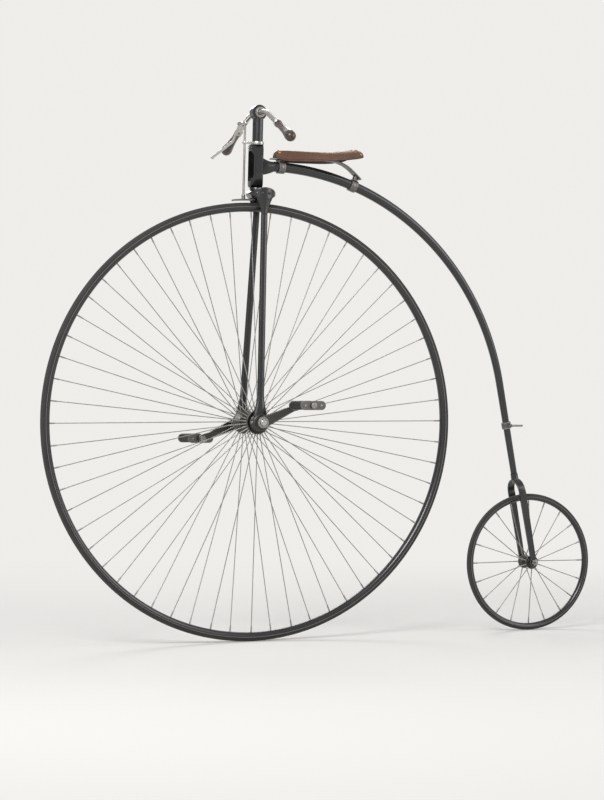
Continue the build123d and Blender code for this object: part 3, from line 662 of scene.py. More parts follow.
# Wheels
bigWheel = dict(
    name="big", part="front", hub=bigHub, spokes=30, segments=256,
    tyreSection=0.011, rimSection=0.0135, rimShift=0.0025, bareLip=0.0026,
    flange=0.035, flangeSpacing=0.104, flangeWidth=0.007, barrel=0.019, bore=0.0092,
)
smallWheel = dict(
    name="small", part="rear", hub=smallHub, spokes=10, segments=144,
    tyreSection=0.0085, rimSection=0.0105, rimShift=0.0015, bareLip=0.002,
    flange=0.021, flangeSpacing=0.048, flangeWidth=0.005, barrel=0.011, bore=0.00515,
)
for wheel in (bigWheel, smallWheel):
    wheel.update(body=wheel["part"] + "_wheel", radius=wheel["hub"].z - floorHeight)
# The last two values shape the painted highlight, a band of bare metal along the rim's lip
rim = dict(lip=0.001, gap=0.0002, outerSteps=18, innerSteps=16, bareHighlightStrength=1.4, fade=0.4)
tyre = dict(steps=32, flatFrom=0.93, flatKeep=0.25, wornShare=0.5)


def markReach(piece, wheel, amountAt):
    # Wear by the distance from the wheel's axis, and on the rims a painted highlight along the lip
    amounts = []
    for vert in piece.data.vertices:
        amounts.append(amountAt(math.hypot(vert.co.x - wheel["hub"].x, vert.co.z - wheel["hub"].z)))
    markPoints(piece.data, "wear", amounts)


def makeTyre(wheel):
    section, radius = wheel["tyreSection"], wheel["radius"]
    profile = []
    for cosine, sine in circle(tyre["steps"]):
        outward = section * cosine
        flat = min(outward, section * tyre["flatFrom"])   # tread worn a little flat
        reach = radius - section + flat + (outward - flat) * tyre["flatKeep"]
        profile.append((reach, section * sine))
    name = wheel["name"] + "Tyre"
    piece = lathe(name, profile, wheel["hub"], sideAxis, tyreRubber, wheel["segments"], True)
    worn = tyre["wornShare"] * section
    markReach(piece, wheel, lambda reach: eased((reach - (radius - worn)) / worn))
    place(piece, wheel["body"], "tyre_rubber", wheel["part"] + "_tyre")


def makeRim(wheel):
    line = wheel["radius"] - wheel["tyreSection"]
    inner = wheel["tyreSection"] + rim["gap"]
    outer, shift = wheel["rimSection"], wheel["rimShift"]
    startOuter = math.acos((shift - rim["lip"]) / outer)
    startInner = math.acos(-rim["lip"] / inner)
    profile = []
    for share in shares(rim["outerSteps"]):
        angle = mixed(startOuter, 2 * math.pi - startOuter, share)
        profile.append((line - shift + outer * math.cos(angle), outer * math.sin(angle)))
    for share in shares(rim["innerSteps"]):
        angle = mixed(2 * math.pi - startInner, startInner, share)
        profile.append((line + inner * math.cos(angle), inner * math.sin(angle)))
    name = wheel["name"] + "Rim"
    piece = lathe(name, profile, wheel["hub"], sideAxis, rimEnamel, wheel["segments"], True)
    # The lip is a band of bare metal all round, painted as a highlight along the rim's edge
    bareHighlightFrom = line - rim["lip"] - wheel["bareLip"]
    fade = rim["fade"] * wheel["bareLip"]
    markReach(piece, wheel, lambda reach: rim["bareHighlightStrength"] * eased((reach - bareHighlightFrom) / fade))
    place(piece, wheel["body"], "black_enamel", wheel["part"] + "_rim")


# Spokes: a threaded foot in the flange, plain wire and a tapered head at the rim
spoke = dict(
    radius=0.0013, foot=0.016, head=0.014, taper=0.02, footSwell=1.35, headSwell=1.7,
    sunk=0.003, edge=0.0005, sides=10, stagger=0.5,
)


def spokeShape(name, start, end):
    along = Vector(end) - Vector(start)
    length, radius = along.length, spoke["radius"]
    foot, head = radius * spoke["footSwell"], radius * spoke["headSwell"]
    profile = [(0, 0), (foot, 0), (foot, spoke["foot"]), (radius, spoke["taper"])]
    profile += [(radius, length * 0.5), (radius, length - spoke["taper"])]
    profile += [(head, length - spoke["head"]), (head, length - spoke["edge"]), (0, length)]
    return lathe(name, profile, Vector(start), along, spokeSteel, spoke["sides"], smoothAngle=50.0)


def growSpokes(wheel):
    name = wheel["name"] + "Spokes"
    inputs = {"Spokes": "Int", "Left Spoke": "Object", "Right Spoke": "Object"}
    g = Growth(name + "Tree", {**inputs, "Stagger": "Float", "Centre": "Vector"})
    turnStep = 2 * math.pi / g.given("Spokes")
    index = g.node("GeometryNodeInputIndex")
    sides = []
    for label, share in (("Left Spoke", 0.0), ("Right Spoke", 1.0)):
        points = g.node("GeometryNodePoints", values={"Count": g.given("Spokes")}, out="Points")
        angle = (g.given("Stagger") * share + index) * turnStep
        turn = g.node("ShaderNodeCombineXYZ", values={"Y": angle})
        values = {"Points": points, "Instance": g.shape(label), "Rotation": turn}
        sides.append(g.node("GeometryNodeInstanceOnPoints", values=values))
    joined = g.node("GeometryNodeJoinGeometry", values={"Geometry": sides})
    values = {"Geometry": joined, "Translation": g.given("Centre")}
    g.close(g.node("GeometryNodeTransform", values=values), spokeSteel)
    rimFloor = wheel["radius"] - wheel["tyreSection"] - wheel["rimShift"] - wheel["rimSection"]
    protos = []
    for label, side in sideSigns:
        start = (0, side * wheel["flangeSpacing"] / 2, wheel["flange"] - spoke["sunk"])
        protos.append(spokeShape(name + label, start, (0, side * 2 * spoke["radius"], rimFloor)))
    values = {"Spokes": wheel["spokes"], "Left Spoke": protos[0], "Right Spoke": protos[1]}
    piece = g.run(name, {**values, "Stagger": spoke["stagger"], "Centre": wheel["hub"]})
    for proto in protos:
        bpy.data.objects.remove(proto)
    smoothPiece(piece, 50.0)
    place(piece, wheel["body"], "bright_steel", wheel["part"] + "_spokes")


# Hubs: a waisted barrel between flanges with a turned-down rim and a shallow dish
hub = dict(
    edge=0.003, edgeRound=0.0012, dish=0.0015, dishWidth=0.007, boss=0.004, waist=0.001,
    waistEnd=0.35, swell=0.93, swellEnd=0.62, barrelStart=0.82, rounding=0.0015,
)


def makeHub(wheel):
    middle, width = wheel["flangeSpacing"] / 2, wheel["flangeWidth"] / 2
    inner, outer = middle - width, middle + width
    flange, barrel, bore = wheel["flange"], wheel["barrel"], wheel["bore"]
    waist = (barrel + bore) / 2 + hub["waist"]
    edge, dish = flange - hub["edge"], outer - hub["dish"]
    half = [(waist, 0), (waist, inner * hub["waistEnd"])]
    half += [(barrel * hub["swell"], inner * hub["swellEnd"]), (barrel, inner * hub["barrelStart"])]
    half += [(edge, inner), (flange, inner + hub["edgeRound"])]
    half += [(flange, outer - hub["edgeRound"]), (edge, outer), (flange - hub["dishWidth"], dish)]
    half += [(barrel + hub["boss"], dish), (barrel + hub["edge"], outer), (bore, outer)]
    half = roundedProfile(half, hub["rounding"])
    name, profile = wheel["name"] + "HubBarrel", mirrored(half) + half[1:]
    piece = lathe(name, profile, wheel["hub"], sideAxis, hubSteel, 72, True, 30.0)
    placeWorn(piece, wheel["body"], "bright_steel", wheel["part"] + "_hub")


for make in (makeTyre, makeRim, growSpokes, makeHub):
    make(bigWheel)
    make(smallWheel)
print("stage: wheels made")

# Fork blades: slim ovals that flare on to the bearing cases
blade = dict(
    lowSide=0.072, topSide=0.031, topBack=0.014, topUp=0.5998, bottomUp=0.015, steps=60,
    widthTop=0.02, widthLow=0.021, widthFoot=0.044, thick=0.013, footThick=0.017,
    flareFrom=0.004, flareRun=0.0765, crowding=1.7,
)


def bladeUp(share):
    # Rings crowd at the foot, where the blade flares
    return mixed(blade["bottomUp"], blade["topUp"], share ** blade["crowding"])


def bladeSection(share):
    up = bladeUp(share)
    flare = 1 - eased((up - blade["flareFrom"]) / blade["flareRun"])
    width = mixed(blade["widthLow"], blade["widthTop"], up / blade["topUp"])
    width = mixed(width, blade["widthFoot"], flare)
    return ellipseSection(mixed(blade["thick"], blade["footThick"], flare) / 2, width / 2)


def makeBlade(side, label):
    spine = []
    for along in shares(blade["steps"]):
        up = bladeUp(along)
        share = up / blade["topUp"]
        across = mixed(blade["lowSide"], blade["topSide"], share)
        spine.append(onFork(blade["topBack"] * share, side * across, up))
    piece = sweep("forkBlade_" + label, spine, sideAxis, bladeSection, blackEnamel)
    place(piece, "fork", "black_enamel", "fork_blade_" + label)


# Backbone: an arc round the big wheel and a straight tail, tapering all the way
backbone = dict(
    centreBack=0.055, centreDrop=0.024, radius=0.765, forkLength=0.2725,
    startRadius=0.015, middleRadius=0.011, endRadius=0.0095,
    neckReach=0.052, neckUp=0.7402, arcSteps=90, tailSteps=24,
)
arcCentre = bigHub + Vector((backbone["centreBack"], 0, -backbone["centreDrop"]))
arcNeck = onFork(backbone["neckReach"], 0, backbone["neckUp"]).x - arcCentre.x
arcStart = math.acos(arcNeck / backbone["radius"])
toAxle = smallHub - arcCentre
tailLength = math.sqrt(toAxle.length_squared - backbone["radius"] ** 2)
arcEnd = math.atan2(toAxle.z, toAxle.x) + math.atan2(tailLength, backbone["radius"])
tailUp = Vector((-math.sin(arcEnd), 0, math.cos(arcEnd)))   # up the straight tail


def arcPlace(angle):
    return arcCentre + Vector((math.cos(angle), 0, math.sin(angle))) * backbone["radius"]


def makeBackbone():
    arcLength = backbone["radius"] * (arcStart - arcEnd)
    tail = tailLength - backbone["forkLength"]
    arcShares, tailShares = shares(backbone["arcSteps"]), shares(backbone["tailSteps"])
    spine = [arcPlace(mixed(arcStart, arcEnd, share)) for share in arcShares]
    spine += [spine[-1] - tailUp * tail * share for share in tailShares[1:]]
    runs = runLengths(spine)

    def tubeSection(share):
        run = runs[round(share * (len(spine) - 1))]
        radius = mixed(backbone["startRadius"], backbone["middleRadius"], run / arcLength)
        if run >= arcLength:
            beyond = (run - arcLength) / tail
            radius = mixed(backbone["middleRadius"], backbone["endRadius"], beyond)
        return ellipseSection(radius, radius)

    piece = sweep("backboneTube", spine, sideAxis, tubeSection, blackEnamel)
    place(piece, "frame", "black_enamel", "backbone")


# Handlebar: level through the lug, then bent down to the grips
bar = dict(
    up=0.896, radius=0.0075, flatHalf=0.03, bendRadius=0.12, slope=25.0, reach=0.262,
    halfWidth=0.262, steps=40,
)
barSlope = math.radians(bar["slope"])
barCorner = bar["flatHalf"] + bar["bendRadius"] * math.tan(barSlope / 2)


def barPoint(side, distance):
    # distance runs along the bar from its middle
    turn = min(max((distance - bar["flatHalf"]) / bar["bendRadius"], 0.0), barSlope)
    run = max(distance - bar["flatHalf"] - bar["bendRadius"] * barSlope, 0.0)
    out = min(distance, bar["flatHalf"]) + bar["bendRadius"] * math.sin(turn)
    drop = bar["bendRadius"] * (1 - math.cos(turn))
    if run:
        out += run * math.cos(barSlope)
        drop += run * math.sin(barSlope)
    return onFork(0, side * out, bar["up"] - drop)


def makeHandlebar():
    runs = [bar["reach"] * share for share in shares(bar["steps"])]
    spine = [barPoint(-1, run) for run in runs[:0:-1]] + [barPoint(1, run) for run in runs]
    section = ellipseSection(bar["radius"], bar["radius"], 24)
    piece = sweep("handlebarTube", spine, backAxis, section, brightSteel)
    placeWorn(piece, "fork", "polished_steel", "handlebar")


for label, side in sideSigns:
    makeBlade(side, label)
makeBackbone()
makeHandlebar()

# Horn grips, pear shaped, each with a turned metal ferrule
grip = dict(
    length=0.128,
    bore=0.0077,
    endWall=0.008,
    neck=0.01,
    bulb=0.016,
    waist=0.006,
    swelling=1.6,
    slim=0.97,
    hornFrom=0.0155,
    bulbFrom=0.008,
    steps=16,
    domeSteps=13,
    segments=56,
    # radius past the neck, height
    bead=((0.0004, 0.009), (0.0012, 0.0105), (0.0012, 0.0135), (0.0002, 0.015)),
    dimple=((0.0036, 0.0006), (0.0034, 0.0012), (0.0, 0.001)),   # radius, depth
    ferruleLength=0.009,
    ferrule=(   # radius, height
        (0.0105, 0.0), (0.0115, 0.0012), (0.0115, 0.003), (0.0108, 0.0036),
        (0.0108, 0.006), (0.0115, 0.0066), (0.0115, 0.0082), (0.0107, 0.009),
    ),
)


def markGrain(piece, start, outward):
    # Lays the horn's streaks along the grip, whichever way it points
    away = outward.orthogonal().normalized()
    other = outward.cross(away)
    values = []
    for vert in piece.data.vertices:
        row = vert.co - start
        values += [row.dot(away), row.dot(other), row.dot(outward)]
    markPoints(piece.data, "grain", values, "FLOAT_VECTOR")


def makeGrip(side, label):
    startSide = bar["halfWidth"] - grip["length"] * math.cos(barSlope)
    drop = (startSide - barCorner) * math.tan(barSlope)
    start = onFork(0, side * startSide, bar["up"] - drop)
    outward = (sideAxis * side * math.cos(barSlope) - steerAxis * math.sin(barSlope)).normalized()
    length, bore, neck, bulb = grip["length"], grip["bore"], grip["neck"], grip["bulb"]
    bulbRun = length - bulb
    boreEnd = length - grip["endWall"]
    profile = [(0.0, boreEnd), (bore, boreEnd), (bore, grip["ferruleLength"])]
    profile += [(neck + more, height) for more, height in grip["bead"]]
    for share in shares(grip["steps"]):
        lift = (bulb - neck) * share ** grip["swelling"] - share * (1 - share) * grip["waist"]
        height = mixed(grip["hornFrom"], bulbRun - grip["bulbFrom"], share)
        profile.append((neck + lift * grip["slim"], height))
    dome = bulb * grip["slim"]
    for share in shares(grip["domeSteps"])[:-1]:
        angle = math.pi / 2 * share
        profile.append((dome * math.cos(angle), bulbRun + dome * math.sin(angle)))
    profile += [(radius, length - depth) for radius, depth in grip["dimple"]]
    horn = lathe("gripHorn_" + label, profile, start, outward, darkHorn, grip["segments"])
    markGrain(horn, start, outward)
    place(horn, "fork", "dark_horn", "grip_" + label)
    ring = [(bore, 0.0), *grip["ferrule"], (bore, grip["ferruleLength"])]
    name = "gripFerrule_" + label
    metal = lathe(name, ring, start, outward, brightSteel, grip["segments"], True)
    place(metal, "fork", "polished_steel")


# Round bearing cases at the blades' feet, with turned rings on both faces
bearing = dict(
    middleSide=0.072,
    half=0.011,
    rounding=0.0006,
    face=(   # radius, depth below the face, from the bore to the groove round the middle
        (0.00915, 0.003), (0.0125, 0.003), (0.014, 0.0004), (0.0175, 0.0002), (0.0185, 0.0022),
        (0.02, 0.0022), (0.0208, 0.0002), (0.0216, 0.0006), (0.0244, 0.0034), (0.025, 0.0048),
        (0.025, 0.0086), (0.024, 0.0092),
    ),
)


def makeBearingCase(side, label):
    face = [(radius, bearing["half"] - depth) for radius, depth in bearing["face"]]
    outside = roundedProfile(face, bearing["rounding"], 2)
    profile = outside + mirrored(outside)
    centre = onFork(0, side * bearing["middleSide"], 0)
    piece = lathe("bearingCase_" + label, profile, centre, sideAxis, hubSteel, 72, True, 30.0)
    placeWorn(piece, "fork", "bright_steel", "bearing_case_" + label)


# Pedal rubbers: fluted blocks between the plates
pedal = dict(
    crank=0.125, crankTurn=23.0, crankSide=0.0925, middleSide=0.0555, rodOffset=0.025,
    halfWide=0.01, halfDeep=0.011, halfLong=0.0396, halfWidth=0.044,
    sides=112, flutes=14, fluteDepth=0.085, roundness=0.42,
    outerNut=0.004, innerNut=0.003,
    # swell, share of half length
    rows=((0.965, 0.0), (0.975, 0.5), (1.0, 0.94), (0.985, 0.975), (0.9, 1.0)),
)


def pedalPlace(side):
    turn = math.radians(pedal["crankTurn"])
    reach = Vector((math.cos(turn), 0, math.sin(turn))) * pedal["crank"] * -side
    return bigHub + reach + sideAxis * side * (pedal["crankSide"] + pedal["middleSide"])


def squared(value, power):
    return math.copysign(abs(value) ** power, value)


def makeRubbers(side, label):
    sides, power = pedal["sides"], pedal["roundness"]
    rows = mirrored(pedal["rows"][1:]) + list(pedal["rows"])
    shapes = []
    for end in (-1, 1):
        centre = pedalPlace(side) + Vector((end * pedal["rodOffset"], 0, 0))
        points = []
        for swell, run in rows:
            for step in range(sides):
                angle = 2 * math.pi * step / sides
                ridge = (0.5 + 0.5 * math.cos(pedal["flutes"] * angle)) ** 2
                flute = 1 - pedal["fluteDepth"] * ridge
                wide = squared(math.cos(angle), power) * pedal["halfWide"] * flute * swell
                deep = squared(math.sin(angle), power) * pedal["halfDeep"] * flute * swell
                points.append(centre + Vector((wide, run * pedal["halfLong"], deep)))
        shapes.append((points, cappedFaces(len(rows), sides)))
    piece = meshPiece("pedalRubber_" + label, *joinShapes(*shapes), pedalRubber, 50.0)
    placeWorn(piece, "pedal_" + label, "pedal_rubber", "pedal_rubbers_" + label)


for make in (makeGrip, makeBearingCase, makeRubbers):
    for label, side in sideSigns:
        make(side, label)

# Leaf spring under the saddle: level, then bent down to its tail
spring = dict(
    front=-0.17044, flatEnd=0.01056, up=-0.0242, bend=0.11, tail=0.034, width=0.03,
    thick=0.004, corner=0.55, turn=math.radians(43.0), flatSteps=16, bendSteps=24, tailSteps=6,
)
springTail = Vector((math.cos(spring["turn"]), 0, -math.sin(spring["turn"])))


def springBend(angle):
    back = spring["flatEnd"] + spring["bend"] * math.sin(angle)
    return Vector((back, 0, spring["up"] - spring["bend"] * (1 - math.cos(angle))))


def makeSpring():
    front, tail = Vector((spring["front"], 0, spring["up"])), springTail * spring["tail"]
    spine = [front.lerp(springBend(0), share) for share in shares(spring["flatSteps"])]
    spine += [springBend(spring["turn"] * share) for share in shares(spring["bendSteps"])[1:]]
    spine += [spine[-1] + tail * share for share in shares(spring["tailSteps"])[1:]]
    section = boxSection(spring["width"] / 2, spring["thick"] / 2, spring["corner"], 3)
    piece = sweep("saddleLeafSpring", spine, sideAxis, section, darkSteel, 30.0)
    placeWorn(piece, "frame", "bright_steel", "saddle_spring")


# Saddle: leather stretched from the nose to a raised cantle, its sides turned down
saddle = dict(
    nose=-0.16244, length=0.262, halfWidth=0.078, seat=-0.022, high=0.022, thick=0.0042,
    noseSquare=0.72, cantleSquare=0.9, squareFrom=0.3, squareRun=0.4,
    endRim=0.001, lengthSteps=84, turnSteps=48,
    rows=(
        # share of length, half width share, top share, edge height
        (0.0, 0.09, 0.3, 0.001),
        (0.01, 0.17, 0.66, -0.0008),
        (0.03, 0.215, 0.9, -0.0035),
        (0.1, 0.27, 1.04, -0.009),
        (0.28, 0.31, 1.03, -0.011),
        (0.46, 0.46, 0.99, -0.01),
        (0.62, 0.72, 1.0, -0.008),
        (0.78, 0.95, 1.16, -0.005),
        (0.9, 1.0, 1.36, -0.001),
        (0.965, 0.89, 1.35, 0.003),
        (0.99, 0.77, 1.22, 0.0064),
        (1.0, 0.68, 0.95, 0.0082),
    ),
)


def saddleRow(share):
    # A smooth curve through the rows, column by column
    rows = saddle["rows"]
    for index in range(len(rows) - 1):
        if share <= rows[index + 1][0]:
            break
    before, first = rows[max(index - 1, 0)], rows[index]
    second, after = rows[index + 1], rows[min(index + 2, len(rows) - 1)]
    span = second[0] - first[0]
    t = (share - first[0]) / span
    made = []
    for a, b, c, d in tuple(zip(before, first, second, after))[1:]:
        slopeFirst = (c - a) / max(1e-6, second[0] - before[0]) * span
        slopeSecond = (d - b) / max(1e-6, after[0] - first[0]) * span
        made.append(
            b * (2 * t ** 3 - 3 * t * t + 1)
            + slopeFirst * (t ** 3 - 2 * t * t + t)
            + c * (3 * t * t - 2 * t ** 3)
            + slopeSecond * (t ** 3 - t * t)
        )
    return made


def saddlePoint(share, turn, inset=0.0):
    # turn runs from 0 at the left edge over the top to 1 at the right edge
    width, top, edge = saddleRow(share)
    half = width * saddle["halfWidth"] - inset
    high = top * saddle["high"] - inset
    angle = math.pi * turn
    cantle = eased((share - saddle["squareFrom"]) / saddle["squareRun"])
    power = mixed(saddle["noseSquare"], saddle["cantleSquare"], cantle)
    across = -half * squared(math.cos(angle), power)
    height = edge + (high - edge) * abs(math.sin(angle)) ** power
    return Vector((saddle["nose"] + share * saddle["length"], across, saddle["seat"] + height))


def makeSaddle():
    lengthSteps, turnSteps = saddle["lengthSteps"], saddle["turnSteps"]
    turns, points, rims = shares(turnSteps), [], []
    for along in shares(lengthSteps):
        share = 0.5 - 0.5 * math.cos(math.pi * along)
        outer = [saddlePoint(share, turn) for turn in turns]
        inner = [saddlePoint(share, turn, saddle["thick"]) for turn in reversed(turns)]
        ends = min(share, 1 - share) * saddle["length"] + saddle["endRim"]
        runs = runLengths(outer)
        rims += [min(run, runs[-1] - run, ends) for run in runs] + [0.0] * len(inner)
        points += outer + inner
    count = 2 * len(turns)
    faces = ringFaces(lengthSteps + 1, count)
    for a in (0, lengthSteps * count):
        for step in range(turnSteps):
            faces.append((a + step, a + step + 1, a + count - 2 - step, a + count - 1 - step))
    piece = meshPiece("saddleTop", points, faces, saddleLeather, 180.0, {"rim": rims})
    rounding = piece.modifiers.new("rounding", "SUBSURF")
    rounding.levels = rounding.render_levels = 1
    settleModifiers(piece)
    smoothPiece(piece, 180.0)
    place(piece, "frame", "saddle_leather", "saddle")


# Steel frame under the leather: a plate on the leaf, bows against nose and cantle, and their struts
bed = dict(
    low=-0.0219, thick=0.0024, half=0.012, start=0.014, end=0.205, gap=0.0009,
    plateCorner=0.5, bowCorner=0.7, strutCorner=0.6,
    bowWide=0.013, bowThick=0.0022, noseShare=0.055, cantleShare=0.935,
    noseTurn=0.2, cantleTurn=0.1, bowSteps=36, plateSteps=12, noseFoot=0.006,
    strutHalf=0.0042, strutThick=0.0016, strutSpread=0.006, strutRise=0.0035,
    strutFoot=0.012, strutBend=0.45, strutLean=0.35, strutSteps=10,
    strutTurns=((-1, 0.3), (1, 0.7), (0, 0.5)),   # side, turn over the saddle
)


def saddleBow(name, share, turnFrom):
    inset = saddle["thick"] + bed["gap"] + bed["bowThick"] / 2
    section = boxSection(bed["bowWide"] / 2, bed["bowThick"] / 2, bed["bowCorner"])
    turns = [mixed(turnFrom, 1 - turnFrom, step) for step in shares(bed["bowSteps"])]
    spine = [saddlePoint(share, turn, inset) for turn in turns]
    return sweep(name, spine, xAxis, section, darkSteel, 30.0)


def makeSaddleFrame():
    start, end = saddle["nose"] + bed["start"], saddle["nose"] + bed["end"]
    middle, top = bed["low"] + bed["thick"] / 2, bed["low"] + bed["thick"]
    front, back = Vector((start, 0, middle)), Vector((end, 0, middle))
    spine = [front.lerp(back, share) for share in shares(bed["plateSteps"])]
    section = boxSection(bed["half"], bed["thick"] / 2, bed["plateCorner"])
    pieces = [sweep("saddlePlate", spine, sideAxis, section, darkSteel, 30.0)]
    pieces.append(saddleBow("noseBow", bed["noseShare"], bed["noseTurn"]))
    pieces.append(saddleBow("cantleBow", bed["cantleShare"], bed["cantleTurn"]))
    strut = boxSection(bed["strutHalf"], bed["strutThick"], bed["strutCorner"])
    inset = saddle["thick"] + bed["gap"] + bed["bowThick"]
    for side, turn in bed["strutTurns"]:
        head = saddlePoint(bed["cantleShare"], turn, inset)
        foot = Vector((end - bed["strutFoot"], side * bed["strutSpread"], top))
        bendBack, bendSide = mixed(foot.x, head.x, bed["strutBend"]), (foot.y + head.y) / 2
        bend = Vector((bendBack, bendSide, top + bed["strutRise"]))
        path = bentLine(foot, bend, head, bed["strutSteps"])
        lean = Vector((bed["strutLean"] * side, 1, 0))
        pieces.append(sweep("cantleStrut", path, lean, strut, darkSteel, 30.0))
    noseHead = saddlePoint(bed["noseShare"], 0.5, inset)
    noseFoot = Vector((start + bed["noseFoot"], 0, top))
    path = [noseFoot.lerp(noseHead, share) for share in shares(4)]
    pieces.append(sweep("noseStrut", path, sideAxis, strut, darkSteel, 30.0))
    for piece in pieces:
        placeWorn(piece, "frame", "bright_steel")


# Copper rivets along the cantle and the nose
saddleRivets = dict(
    size=0.0046, lift=0.0001, probe=0.01,
    # share of length, turns over the saddle
    rows=((0.94, (0.12, 0.235, 0.36, 0.5, 0.64, 0.765, 0.88)), (0.05, (0.26, 0.5, 0.74))),
)


def makeSaddleRivets():
    marks = []
    probe = saddleRivets["probe"]
    for share, turns in saddleRivets["rows"]:
        for turn in turns:
            point = saddlePoint(share, turn)
            across = saddlePoint(share, turn + probe) - saddlePoint(share, turn - probe)
            ahead = saddlePoint(share + probe, turn) - saddlePoint(share - probe, turn)
            out = ahead.cross(across).normalized()
            out = out if out.z > 0 or abs(out.y) > abs(out.z) and out.y * point.y > 0 else -out
            seat = point + out * saddleRivets["lift"]
            marks.append((seat, out, across.normalized(), saddleRivets["size"]))
    growOnPoints("saddleRivets", marks, rivetShape, copperRivet, "frame", "polished_steel")


makeSpring()
makeSaddle()
makeSaddleFrame()
makeSaddleRivets()

# Turned ends of the big axle, the rings on the crank bosses and on the handlebar's lug
turned = dict(
    crankFace=0.099,
    lugFace=0.016,
    rounding=0.0004,
    axleNut=(   # radius, height
        (0.0, 0.001), (0.009, 0.001), (0.0095, 0.0016), (0.0095, 0.003), (0.0088, 0.0036),
        (0.0068, 0.0036), (0.0066, 0.0042), (0.0066, 0.0062), (0.0056, 0.0072), (0.0022, 0.0078),
        (0.0018, 0.007), (0.0, 0.007),
    ),
    crankRing=(
        (0.0104, -0.0004), (0.0108, 0.0007), (0.012, 0.0008), (0.0124, 0.0003),
        (0.0136, 0.0003), (0.014, 0.0008), (0.0152, 0.0008), (0.0158, -0.0004),
    ),
    lugRing=(
        (0.0081, -0.001), (0.0086, 0.001), (0.0104, 0.0014), (0.0112, 0.0006),
        (0.0126, 0.0006), (0.0132, 0.0012), (0.0148, 0.001), (0.0154, -0.0006),
    ),
)


def makeTurnedEnds(side, label):
    outward = sideAxis * side
    face = bigHub + outward * turned["crankFace"]
    lug = onFork(0, side * turned["lugFace"], bar["up"])
    nut = roundedProfile(turned["axleNut"], turned["rounding"], 2)
    piece = lathe("axleNut_" + label, nut, face, outward, brightSteel, 40)
    placeWorn(piece, "front_wheel", "bright_steel", "axle_nut_" + label)
    for name, seat, body in (("crankRing", face, "front_wheel"), ("lugRing", lug, "fork")):
        piece = lathe(name + "_" + label, turned[name], seat, outward, plainSteel, 48, True)
        placeWorn(piece, body, "bright_steel")


for label, side in sideSigns:
    makeTurnedEnds(side, label)

# Mounting step on the tail: a band, an arm that flattens under the teeth, and the toothed plate
footStep = dict(
    distance=0.42, bore=0.01055, outer=0.0143, halfBand=0.01, reach=0.062, steps=32,
    armRadius=0.005, armSunk=0.0015, armOverlap=0.004, rootSwell=0.0016, edge=0.0006,
    halfWidth=0.017, halfLength=0.013, halfThick=0.003, teeth=5, groove=0.0021,
    tongueHalf=0.0085, tongueThick=0.0016, tongueDrop=0.001, longest=0.003,
    flatFrom=0.35, flatRun=0.55, rootRun=0.14,
)
stepCentre = smallHub + tailUp * footStep["distance"]


def armSection(share):
    flat = eased((share - footStep["flatFrom"]) / footStep["flatRun"])
    root = mixed(footStep["rootSwell"], 0.0, eased(share / footStep["rootRun"]))
    wide = mixed(footStep["armRadius"], footStep["tongueHalf"], flat) + root
    thick = mixed(footStep["armRadius"], footStep["tongueThick"], flat) + root
    return ellipseSection(wide, thick, 24)


def toothedPlate():
    wide, thick, groove = footStep["halfWidth"], footStep["halfThick"], footStep["groove"]
    teeth, edge = footStep["teeth"], footStep["edge"]
    outline = [(0.0, -thick), (wide, -thick), (wide, thick)]
    for index in range(teeth - 1, 0, -1):
        across = wide * (2 * index / teeth - 1)
        outline += [(across + groove, thick), (across, thick - groove), (across - groove, thick)]
    outline += [(-wide, thick), (-wide, -thick), (0.0, -thick)]
    outline = roundedProfile(outline, edge, 2)[:-1]
    points = []
    for sign, shrink in ((-1, edge), (-1, 0.0), (1, 0.0), (1, edge)):
        along = footStep["reach"] + sign * (footStep["halfLength"] - (edge - shrink))
        for across, up in outline:
            offset = (across * (1 - shrink / wide), -along, up * (1 - shrink / thick))
            points.append(stepCentre + Vector(offset))
    return meshPiece("stepPlate", points, cappedFaces(4, len(outline)), darkSteel)


def makeStep():
    half, outer, edge = footStep["halfBand"], footStep["outer"], footStep["edge"]
    band = [(footStep["bore"], -half), (outer - edge, -half), (outer, edge - half)]
    pieces = [lathe("stepBand", band + mirrored(band), stepCentre, tailUp, darkSteel, 48, True)]
    tip = footStep["reach"] - footStep["halfLength"] + footStep["armOverlap"]
    spine = []
    for share in shares(footStep["steps"]):
        out = sideAxis * mixed(outer - footStep["armSunk"], tip, share)
        spine.append(stepCentre - out - zAxis * (footStep["tongueDrop"] * eased(share)))
    pieces.append(sweep("stepArm", spine, xAxis, armSection, darkSteel))
    pieces.append(toothedPlate())
    for piece in pieces:
        splitLong(piece, footStep["longest"])
        smoothPiece(piece, 30.0)
        placeWorn(piece, "frame", "bright_steel")
    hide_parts("mounting_step")


makeStep()

